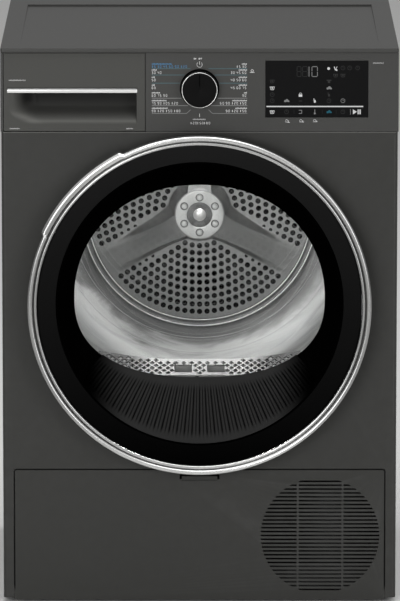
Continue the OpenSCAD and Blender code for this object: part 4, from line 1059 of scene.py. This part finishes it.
def knob_pieces():
    body = rounded([(0.0001, KNOB_FACE + 0.0012), (KNOB_R - 0.0030, KNOB_FACE + 0.0002),
                    (KNOB_R - 0.0016, KNOB_FACE + 0.0030), (KNOB_R, KNOB_FACE + 0.0060),
                    (KNOB_R, FRONT + 0.0008), (0.0001, FRONT + 0.0008)], 0.001)
    lathe("knob_body", body, KNOB_Z, knob_black, "knob", ["program_knob"], 96, 45)
    ring = arc((KNOB_R - 0.0013, KNOB_FACE + 0.0022), 0.00062, 0, 330, 11)
    lathe("knob_ring", ring, KNOB_Z, bright_trim, "knob", (), 96, 60)
    pointer = Print(lambda z: KNOB_FACE + 0.0012 - 0.0010 * (z - KNOB_Z) / KNOB_R, 0.00015, 0.0004)
    pointer.bar(-0.0007, 0.0007, KNOB_Z + 0.0060, KNOB_Z + 0.0240)
    pointer.make("knob_pointer", ink_and_painted_shade_black, "knob")
    # a black ring on the fascia round the knob: a painted shadow in the gap between knob and fascia
    collar = rounded([(KNOB_R + 0.0003, FRONT - 0.0003), (KNOB_R + 0.0018, FRONT - 0.0003),
                      (KNOB_R + 0.0021, FRONT + 0.0030), (KNOB_R + 0.0003, FRONT + 0.0030)], 0.0003)
    lathe("knob_collar", collar, KNOB_Z, ink_and_painted_shade_black, "cabinet", (), 96, 45)


knob_pieces()

LETTER_O = [(0, 0, 2, 0), (2, 0, 2, 2), (2, 2, 0, 2), (0, 2, 0, 0)]
LETTER_N = [(0, 0, 0, 2), (0, 2, 2, 0), (2, 0, 2, 2)]
LETTER_F = [(0, 0, 0, 2), (0, 2, 2, 2), (0, 1, 1.5, 1)]

DIAL_ROWS = [
    # height, minutes on the left, minutes on the right, height of the line below, its ink
    (0.8240, "15 30 45 60 90 120", "15 30", 0.8192, "teal"),
    (0.8150, "30 40", "30 45 60", 0.8096, "teal"),
    (0.8040, "50", "40 50 60", 0.7973, "teal"),
    (0.7922, "60", "45 60 75", None, ""),
    (0.7806, "60 75 90", "90", 0.7746, "grey"),
    (0.7688, "75 90 105 120", "60 90 120 150", 0.7634, "grey"),
    (0.7572, "90 120 150 180", "90 120 150", 0.7516, "grey"),
]


def dial_marks():
    inks = {name: Print() for name in ("white", "blue", "teal", "grey")}
    edge, height, stroke, gap, pitch = 0.0716, 0.0034, 0.00078, 0.0014, 0.0016
    for n, (z, left, right, line_z, line_ink) in enumerate(DIAL_ROWS):
        for side, words in ((-1, left), (1, right)):
            ink = inks["blue" if side < 0 and n == 0 else "white"]
            steps = [len(t) * (height * 0.52 + stroke * 2.4) + gap for t in words.split()]
            start = cursor = side * edge - (sum(steps) - gap if side > 0 else 0.0)
            for text, step in zip(words.split(), steps):
                ink.number(text, cursor, z - 0.0036, height, stroke)
                cursor += step
            ticks = max(3, int(0.55 * (cursor - start) / pitch))
            first = start if side < 0 else cursor - gap - ticks * pitch
            ink.bars(first, z + 0.0012, ticks, pitch, 0.0009, 0.0016, 0.0006, 7)
        for side in (-1, 1) if line_z else ():
            outer = (side * edge, line_z)
            if n == len(DIAL_ROWS) - 1:
                bend = (side * 0.0195, line_z)
                inks["grey"].path([outer, bend, (side * 0.0135, line_z + 0.0055)], 0.0007)
            else:
                inner = math.sqrt(max((KNOB_R + 0.0032) ** 2 - (line_z - KNOB_Z) ** 2, 0.0))
                inks[line_ink].line(outer, (side * max(inner, 0.0135), line_z),
                                    0.0008 if line_ink == "grey" else 0.0011)
    white = inks["white"]
    white.letters(-0.0085, 0.8330, 0.0020, 0.0005, [LETTER_O, LETTER_N])
    white.letters(-0.0012, 0.8330, 0.0020, 0.0005, [LETTER_O, LETTER_F, LETTER_F])
    white.circle(0, 0.8252, 0.0040, 0.0006, 130, 410)
    white.line((0, 0.8250), (0, 0.8300), 0.0007)
    white.line((0, 0.7512), (0, 0.7462), 0.0007)
    white.bars(-0.0098, 0.7418, 13, 0.0015, 0.0007, 0.0014, 0.0005, 5)
    for text, x in (("120", -0.0090), ("150", 0.0010), ("180", 0.0110)):
        white.number(text, x, 0.7352, 0.0034, 0.0008, middle=True)
    white.bar(0.0755, 0.0825, 0.8132, 0.8138)
    white.circle(0.0790, 0.8160, 0.0022, 0.0006, sides=4)
    for x, z, count in ((-0.2860, 0.8008, 17), (-0.2850, 0.7278, 10), (-0.1100, 0.7278, 7)):
        white.bars(x, z, count, 0.0015, 0.0007, 0.0013, 0.0006, 7)
    white.bars(0.2600, 0.8268, 11, 0.0015, 0.0007, 0.0012, 0.0005, 5)
    for name, coating in (("white", print_white), ("blue", print_blue), ("teal", print_teal),
                          ("grey", print_grey)):
        inks[name].make("dial_marks_" + name, coating)


dial_marks()


def basket(ink, x, z):
    ink.path([(x - 0.0032, z + 0.0018), (x - 0.0022, z - 0.0026), (x + 0.0022, z - 0.0026),
              (x + 0.0032, z + 0.0018)], 0.0008)
    ink.line((x - 0.0036, z + 0.0016), (x + 0.0036, z + 0.0016), 0.0009)
    ink.dot(x, z - 0.0002, 0.0012, 10)


def clock(ink, x, z):
    ink.circle(x, z, 0.0030, 0.0007, sides=20)
    ink.line((x, z), (x, z + 0.0020), 0.0006)
    ink.line((x, z), (x + 0.0014, z), 0.0006)


def lock(ink, x, z):
    ink.bar(x - 0.0026, x + 0.0026, z - 0.0032, z + 0.0004)
    ink.circle(x, z + 0.0008, 0.0018, 0.0007, 0, 180, 10)


def drop(ink, x, z):
    ink.shape([(x, z - 0.0034), (x + 0.0016, z - 0.0020), (x + 0.0013, z), (x, z + 0.0020),
               (x - 0.0013, z), (x - 0.0016, z - 0.0020)])
    ink.line((x - 0.0014, z + 0.0036), (x - 0.0014, z), 0.0008)


def tee(ink, x, z):
    ink.bar(x - 0.0017, x + 0.0017, z - 0.0028, z + 0.0020)
    ink.bar(x - 0.0036, x + 0.0036, z + 0.0004, z + 0.0022)


def bent_arrow(ink, x, z):
    ink.path([(x - 0.0024, z + 0.0024), (x + 0.0020, z + 0.0024), (x + 0.0020, z - 0.0024),
              (x - 0.0024, z - 0.0024)], 0.0009)


def thermometer(ink, x, z):
    ink.line((x, z - 0.0016), (x, z + 0.0036), 0.0010)
    ink.dot(x, z - 0.0024, 0.0015, 12)


def cloud(ink, x, z):
    ink.dot(x - 0.0020, z - 0.0006, 0.0017, 12)
    ink.dot(x + 0.0006, z + 0.0004, 0.0022, 12)
    ink.dot(x + 0.0030, z - 0.0008, 0.0014, 12)


def display_marks():
    bright, mid, dim, teal = Print(), Print(), Print(), Print()
    line_z, foot = 0.7621, 0.7540
    columns = [0.1090, 0.1305, 0.1514, 0.1730, 0.1942, 0.2151]
    steps = [0.8003, 0.7900, 0.7800, 0.7708]
    mid.line((0.1642, 0.8073), (0.1642, 0.8222), 0.0010)
    mid.digit("0", 0.1686, 0.8073, 0.0149, 0.0082, 0.0010)
    dim.digit("8", 0.1545, 0.8073, 0.0149, 0.0070, 0.0007)
    dim.digit("8", 0.1462, 0.8073, 0.0149, 0.0060, 0.0007)
    bright.dot(0.1936, 0.8193, 0.0021)
    bright.line((0.2020, 0.8222), (0.2038, 0.8165), 0.0013)
    bright.line((0.2038, 0.8165), (0.2062, 0.8222), 0.0008)
    bright.bar(0.2048, 0.2066, 0.8158, 0.8180)
    marks = [(clock, dim, x, 0.8202) for x in (0.2150, 0.2252, 0.2372)]
    marks += [(basket, dim, x, 0.8092) for x in (0.2040, 0.2150)]
    for x, signs in ((columns[0], ((basket, dim), (basket, bright), (clock, dim), (clock, dim))),
                     (columns[4], ((tee, dim), (cloud, mid), (drop, dim), (clock, dim)))):
        marks += [(sign, ink, x, z) for (sign, ink), z in zip(signs, steps)]
    marks += [(cloud, mid, columns[1], steps[3]), (lock, bright, columns[2], steps[2]),
              (drop, bright, columns[3], steps[3]), (clock, mid, columns[5], steps[3])]
    marks += [(sign, ink, x, foot) for x, (sign, ink) in zip(columns, (
        (basket, bright), (clock, dim), (bent_arrow, mid), (thermometer, mid), (cloud, teal), (clock, dim)))]
    for sign, ink, x, z in marks:
        sign(ink, x, z)
    dim.bar(columns[2] - 0.0026, columns[2] + 0.0026, steps[3] - 0.0010, steps[3] + 0.0002)
    bright.bar(0.1004, 0.2456, line_z - 0.0009, line_z + 0.0009)
    for x in (0.1416, 0.1840, 0.2050):
        dim.bar(x, x + 0.0004, foot - 0.0030, foot + 0.0030)
    mid.bar(0.2262, 0.2269, foot - 0.0042, foot + 0.0042)
    bright.shape([(0.2302, foot - 0.0038), (0.2362, foot), (0.2302, foot + 0.0038)])
    bright.bar(0.2372, 0.2390, foot - 0.0036, foot + 0.0036)
    bright.bar(0.2400, 0.2420, foot - 0.0036, foot + 0.0036)
    for name, ink, coating in (("bright", bright, glow_white), ("mid", mid, glow_mid),
                               ("dim", dim, glow_grey), ("teal", teal, glow_teal)):
        ink.make("display_marks_" + name, coating)
    below = Print()
    for n, x in enumerate((0.1318, 0.1531, 0.1737)):
        below.circle(x - 0.0010, 0.7404, 0.0018, 0.0006, 0, 180, 8)
        below.line((x - 0.0030, 0.7390), (x + 0.0036, 0.7378 + 0.0006 * n), 0.0007)
        below.dot(x + 0.0018, 0.7400, 0.0007, 8)
    below.make("display_marks_below", print_white)


display_marks()


# ---------------------------------------------------------------- the drum

def round_the_drum(name, profile, material, stands_for=(), segments=240, smooth=40):
    lathe(name, profile, DRUM_Z, material, "drum", stands_for, segments, smooth)


def drum_wall():
    rim_in, rim_y, step_y, front_y = 0.2735, -0.160, -0.146, 0.120
    outline = [(rim_in, rim_y), (rim_in + DRUM_T, rim_y), (rim_in + DRUM_T, step_y - DRUM_T)]
    outline += arc((DRUM_R - 0.004, step_y + 0.003), 0.004, -90, 0, 5)
    outline += [(DRUM_R, front_y), (DRUM_R - DRUM_T, front_y)]
    outline += arc((DRUM_R - DRUM_T - 0.003, step_y + 0.0042), 0.003, 0, -90, 5)
    round_the_drum("drum_wall", outline + [(rim_in, step_y)], drum_steel, ["drum_shell"])


def drum_shoulder():
    """The rolled shoulder between the wall and the pressed plate, with its beads."""
    turn = DRUM_R - RIM_R - 0.003
    middle = (RIM_R + 0.003, PLATE_Y - turn)
    face = []
    for r, y in arc(middle, turn - DRUM_T, 90, 0, 30):
        ridges = 0.0011 * math.exp(-((r - 0.201) / 0.0016) ** 2)
        ridges += 0.0008 * math.exp(-((r - 0.218) / 0.004) ** 2)
        face.append((r, y - ridges))
    beads = [(RIM_R + off, PLATE_Y - 0.0022 - max(0.0, 0.0018 - abs(off - top)) * 0.9)
             for top, places in ((-0.0088, (-0.0106, -0.0098, -0.0088, -0.0078, -0.0070)),
                                 (-0.0010, (-0.0032, -0.0024, -0.0010, 0.0004, 0.0012)))
             for off in places]
    back = [(RIM_R - 0.0112, PLATE_Y), (RIM_R - 0.0112, PLATE_Y - 0.0013)]
    round_the_drum("drum_shoulder", arc(middle, turn, 0, 90, 30) + back + beads + face, drum_steel,
                   ["drum_back"], smooth=50)


def air_holes():
    """Outlines of the air holes in three sectors."""
    holes = []
    for sector in (-90, 30, 150):
        for k in range(10):
            row = AIR_ROW - k * AIR_PITCH
            count = 12 - k if k < 6 else 11 - k
            for i in range(-count, count + 1):
                centre = polar(row, sector + math.degrees(i * AIR_PITCH / row))
                small = 2 < k < 6 and abs(i) == count
                holes.append(circle_outline(*centre, SMALL_AIR_R if small else AIR_R, 14))
    return holes


def circle_outline(x, z, r, sides):
    return [polar(r, 360 * i / sides, x, z) for i in range(sides)]


def drum_plate():
    """A flat plate with holes, whose walls carry painted shade in black."""
    curve = bpy.data.curves.new("drum_plate_outline", "CURVE")
    curve.dimensions = "2D"
    curve.fill_mode = "BOTH"
    curve.extrude = DRUM_T / 2
    for outline in [circle_outline(0, 0, RIM_R + 0.0035, 180)] + air_holes():
        spline = curve.splines.new("POLY")
        spline.points.add(len(outline) - 1)
        for point, (x, z) in zip(spline.points, outline):
            point.co = (x, z, 0, 1)
        spline.use_cyclic_u = True
    mesh = settled(in_scene("drum_plate_outline", curve), "drum_plate")
    upright = Matrix.Rotation(math.radians(90), 4, "X")
    mesh.transform(Matrix.Translation((0, PLATE_Y - DRUM_T / 2, DRUM_Z)) @ upright)
    mesh.materials.clear()
    close_up(mesh, WELD)
    mesh.materials.append(plate_steel)
    mesh.materials.append(ink_and_painted_shade_black)
    # painted shade: faces that do not face front or back turn black
    for face in mesh.polygons:
        face.material_index = int(abs(face.normal.y) < 0.5)
    finish_mesh("drum_plate", mesh, None, "drum", (), 30)


def spider_rise(x, z):
    """How far the pressed three-arm spider stands ahead of the plate."""
    r = math.hypot(x, z)
    rise = 0.0
    for turn in (90, 210, 330):
        c, s = polar(1.0, turn)
        along, across = x * c + z * s, abs(-x * s + z * c)
        if along < 0:
            continue
        near = math.exp(-max(along - 0.030, 0.0) / 0.022)
        half, flank = 0.0150 + 0.0045 * near, 0.0100 + 0.0050 * near
        high = 0.050 - 0.0455 * smoothstep((along - 0.026) / 0.110)
        side = smoothstep((half + flank - across) / flank)
        groove = 0.0009 * math.exp(-((across - half + 0.002) / 0.0018) ** 2)
        groove *= smoothstep((along - 0.06) / 0.02) * smoothstep((0.135 - along) / 0.03)
        rise = max(rise, (high * side - groove) * smoothstep((SPIDER_END - r) / 0.050))
    return max(rise, 0.050 * smoothstep((0.0500 - r) / 0.0110))


def drum_spider():
    """A polar net over the plate, kept only where the spider stands proud of it."""
    rings, sides = 96, 432
    points, high = [], []
    for k in range(rings + 1):
        r = SPIDER_START + (SPIDER_END - SPIDER_START) * k / rings
        for i in range(sides):
            x, z = polar(r, 360 * (i + 0.5) / sides)
            high.append(spider_rise(x, z))
            points.append((x, PLATE_Y - DRUM_T - high[-1], DRUM_Z + z))
    faces = [quad for quad in net(rings + 1, sides, wrap=True) if max(high[q] for q in quad) > 0.00004]
    mesh = mesh_from("drum_spider", points, faces)
    work = bmesh.new()
    work.from_mesh(mesh)
    bmesh.ops.delete(work, geom=[v for v in work.verts if not v.link_faces], context="VERTS")
    if sum(f.normal.y for f in work.faces) > 0:
        bmesh.ops.reverse_faces(work, faces=work.faces)
    work.to_mesh(mesh)
    work.free()
    finish_mesh("drum_spider", mesh, plate_steel, "drum", (), 60)


def rolled_beads():
    """Two fine rolled beads round the plate, and two on the shoulder."""
    for name, coating, centre, r, steps in (
            # the plate's two beads carry a painted highlight through a brighter steel
            ("rim_bead_1", painted_highlight_steel, (RIM_R - 0.0090, PLATE_Y - 0.0028), 0.0011, 11),
            ("rim_bead_2", painted_highlight_steel, (RIM_R, PLATE_Y - 0.0028), 0.0013, 11),
            ("shoulder_bead_1", plate_steel, (0.2025, 0.1985), 0.0008, 9),
            ("shoulder_bead_2", plate_steel, (0.2285, 0.2086), 0.0005, 9)):
        round_the_drum(name, arc(centre, r, 0, 330, steps), coating, smooth=60)


def hub_pieces():
    flange = rounded([(0.0200, HUB_FACE), (0.0378, HUB_FACE), (0.0378, HUB_Y), (0.0200, HUB_Y)], 0.0008)
    round_the_drum("hub_flange", flange, flange_steel, ["drum_hub"], 96, 45)
    dish = rounded([(0.0001, HUB_FACE + 0.0022), (0.0198, HUB_FACE + 0.0022), (0.0198, HUB_Y),
                    (0.0001, HUB_Y)], 0.0003)
    round_the_drum("hub_dish", dish, dish_steel, (), 64, 45)
    shaft = rounded([(0.0001, HUB_Y - 0.001), (0.0119, HUB_Y - 0.001), (0.0119, WALL + 0.008),
                     (0.0001, WALL + 0.008)], 0.0006)
    round_the_drum("hub_shaft", shaft, flange_steel, (), 48, 45)
    centre = [(0.0001, HUB_FACE + 0.003), (0.0100, HUB_FACE + 0.003), (0.0100, HUB_FACE + 0.0012),
              (0.0078, HUB_FACE - 0.0006), (0.0060, HUB_FACE - 0.0026), (0.0001, HUB_FACE - 0.0030)]
    # the centre bolt's bright steel is a painted highlight
    round_the_drum("hub_centre_bolt", centre, painted_highlight_steel, (), 48, 50)
    bolt = turned_mesh("bolt", [(0.0040, 0.0006), (0.0040, -0.0016), (0.0034, -0.0024),
                                (0.0016, -0.0026)], 20)
    collar = turned_mesh("bolt_collar", [(0.0046, 0.0002), (0.0046, -0.0006), (0.0060, -0.0008),
                                         (0.0064, 0.0002)], 28)
    for name, piece, coating, stands_for in (("hub_bolts", bolt, flange_steel, ["hub_bolts"]),
                                             ("hub_bolt_collars", collar, dish_steel, ())):
        repeat_round(name, piece, coating, "drum", stands_for, Count=6, Radius=0.0278,
                     Start=math.radians(30), Step=math.radians(60), Centre=(0.0, HUB_FACE, DRUM_Z))


drum_wall()
drum_shoulder()
drum_plate()
drum_spider()
rolled_beads()
hub_pieces()


# ---------------------------------------------------------------- painted shade and highlights at the seams, and the softened CAD pieces

def front_mark():
    """Marks that lie on the cabinet's flat front."""
    return Print(lambda z: FRONT)


def painted_seam_marks():
    gap, shade, light = front_mark(), front_mark(), front_mark()
    # gap: painted shade round the latch
    gap.bar(-0.0300, 0.0300, LATCH_TOP - 0.0018, LATCH_TOP + 0.0012)
    for side in (-1, 1):
        gap.bar(side * 0.0285 - 0.0016, side * 0.0285 + 0.0016, LATCH_TOP - 0.0062, LATCH_TOP)
    gap.make("latch_gap", ink_and_painted_shade_black, nodes["kick_flap"]["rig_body"])
    # shade: painted shade along the flap's gap
    corner = arc((FLAP_HALF - FLAP_ROUND, FLAP_TOP - FLAP_ROUND), FLAP_ROUND, 0, 90, 6)
    shade.path([(FLAP_HALF, FLAP_FOOT), *corner, *((-x, z) for x, z in reversed(corner)),
                (-FLAP_HALF, FLAP_FOOT)], 0.0013)
    shade.make("flap_shade", ink_and_painted_shade_black, nodes["kick_flap"]["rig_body"])
    # light: a painted highlight on the front panel's top edge, below the fascia
    light.bar(-0.2955, 0.2955, FASCIA_Z - 0.0017, FASCIA_Z - 0.0006)
    light.make("seam_light", seam_painted_highlight_grey)


painted_seam_marks()
for node, width in (
        ("top_panel", 0.0012), ("control_panel", 0.0004), ("kick_flap", 0.0005), ("flap_latch", 0.0004),
        ("display_window", 0.0004), ("front_panel", 0.0), ("side_panel_left", 0.0),
        ("side_panel_right", 0.0), ("rear_duct_cover", 0.0008), ("drum_lifters", 0.002),
        ("front_bulkhead", 0.0), ("lint_filter", 0.0), ("door_inner_frame", 0.0), ("door_seal", 0.0),
        ("base_tray", 0.0), ("foot_front_left", 0.0006), ("foot_front_right", 0.0006),
        ("foot_rear_left", 0.0006), ("foot_rear_right", 0.0006), ("mains_inlet", 0.0005),
        ("cabinet_screws", 0.0004), ("rear_panel", 0.0)):
    softened(node, width, 40 if node == "drum_lifters" else 35)


def refinish(name, material, chosen):
    """Gives the chosen faces of a piece another finish."""
    mesh = bpy.data.objects[name].data
    mesh.materials.append(material)
    for face in mesh.polygons:
        if chosen(face):
            face.material_index = 1


# painted shade: the walls of the lint screen's slots turn black
lattice_faces = bpy.data.objects["lint_filter_soft"].data.polygons
LATTICE_UP = max((f for f in lattice_faces if f.normal.z > 0.3), key=lambda face: face.area).normal.copy()
refinish("lint_filter_soft", ink_and_painted_shade_black, lambda face: abs(face.normal.dot(LATTICE_UP)) < 0.3
         and face.area < 0.00004 and abs(face.center.x) < 0.150)
# painted shade: the front faces of the duct cover, seen through the drum's holes, turn black
refinish("rear_duct_cover_soft", ink_and_painted_shade_black, lambda face: face.normal.y < -0.2)
refinish("top_panel_soft", fascia_plastic, lambda face: face.normal.y < -0.8 and face.center.y < FRONT + 0.01)


# ---------------------------------------------------------------- floor, light and camera

def make_stage():
    """A pale floor with a slight change of tone."""
    pale = Finish("pale_floor")
    noise = pale.node("ShaderNodeTexNoise", {"Scale": 3.0, "Detail": 3.0})["Fac"]
    pale.feed("Base Color", pale.tinted((0.80, 0.80, 0.79), pale.plus(pale.times(noise, 0.02), 0.99)))
    pale.set(rough=0.7, specular=0.2)
    floor = in_scene("floor", mesh_from("floor", [(-12, -14, 0), (12, -14, 0), (12, 12, 0), (-12, 12, 0)],
                                        [(0, 1, 2, 3)]))
    floor.data.materials.append(pale.material)


def make_world():
    """A plain studio: pale all round to the eye, with dimmer sides for glossy surfaces to show."""
    world = bpy.data.worlds.new("studio")
    bpy.context.scene.world = world
    world.use_nodes = True
    tree = world.node_tree
    plain = tree.nodes["Background"]
    plain.inputs["Color"].default_value = (1, 1, 1, 1)
    plain.inputs["Strength"].default_value = 0.35
    path = add(tree, "ShaderNodeLightPath").outputs
    seen = add(tree, "ShaderNodeBackground", {"Color": (0.93, 0.93, 0.93, 1), "Strength": 1.0})
    direction = add(tree, "ShaderNodeSeparateXYZ",
                    {0: tree.nodes.new("ShaderNodeTexCoord").outputs["Generated"]})
    height = add(tree, "ShaderNodeMapRange", {"Value": direction.outputs[2], "From Min": 0.05,
                                              "From Max": 0.75, "To Min": 0.30, "To Max": 0.93},
                 interpolation_type="SMOOTHSTEP")
    mirrored = add(tree, "ShaderNodeBackground", {"Color": (1, 1, 1, 1), "Strength": height.outputs[0]})
    clear = math_node(tree, "MAXIMUM", path["Is Camera Ray"], path["Is Transmission Ray"])
    mix = add(tree, "ShaderNodeMixShader", {0: path["Is Glossy Ray"], 1: plain.outputs[0],
                                            2: mirrored.outputs[0]})
    last = add(tree, "ShaderNodeMixShader", {0: clear, 1: mix.outputs[0], 2: seen.outputs[0]})
    join(tree, tree.nodes["World Output"].inputs["Surface"], last.outputs[0])


def area_light(name, place, target, size, power):
    data = bpy.data.lights.new(name, "AREA")
    data.shape = "RECTANGLE"
    data.size, data.size_y = size
    data.energy = power
    light = in_scene(name, data)
    light.location = place
    light.rotation_euler = (Vector(target) - Vector(place)).to_track_quat("-Z", "Y").to_euler()


def make_camera():
    data = bpy.data.cameras.new("camera")
    data.sensor_width = 36.0
    data.lens = 388.66
    data.clip_end = 60
    camera = in_scene("camera", data)
    camera.location = (0.00066, FRONT - 9.6352, 2.212)
    camera.rotation_euler = (math.radians(90 - 10.27), 0, 0)
    bpy.context.scene.camera = camera


make_stage()
make_world()
area_light("top_softbox", (0.0, -0.4, 3.4), (0.0, 0.0, 0.8), (2.4, 2.0), 44)
area_light("front_softbox", (-2.0, -4.8, 1.5), (0.0, -0.3, 0.42), (2.6, 2.4), 100)
area_light("fill_softbox", (2.8, -4.2, 1.2), (0.0, -0.3, 0.42), (2.0, 2.2), 55)
area_light("rear_softbox", (3.0, 2.6, 2.6), (0.0, 0.3, 0.45), (2.0, 2.0), 40)
area_light("drum_top_lamp", (0.0, 0.09, 0.75), (0.0, 0.06, 0.25), (0.20, 0.03), 0.35)
for side in (-1, 1):
    area_light(f"drum_lamp_{side + 2}", (side * 0.15, -0.120, 0.69), (side * 0.05, -0.17, 0.30), (0.05, 0.03),
               0.42)
bpy.context.scene.view_settings.view_transform = "Standard"
make_camera()
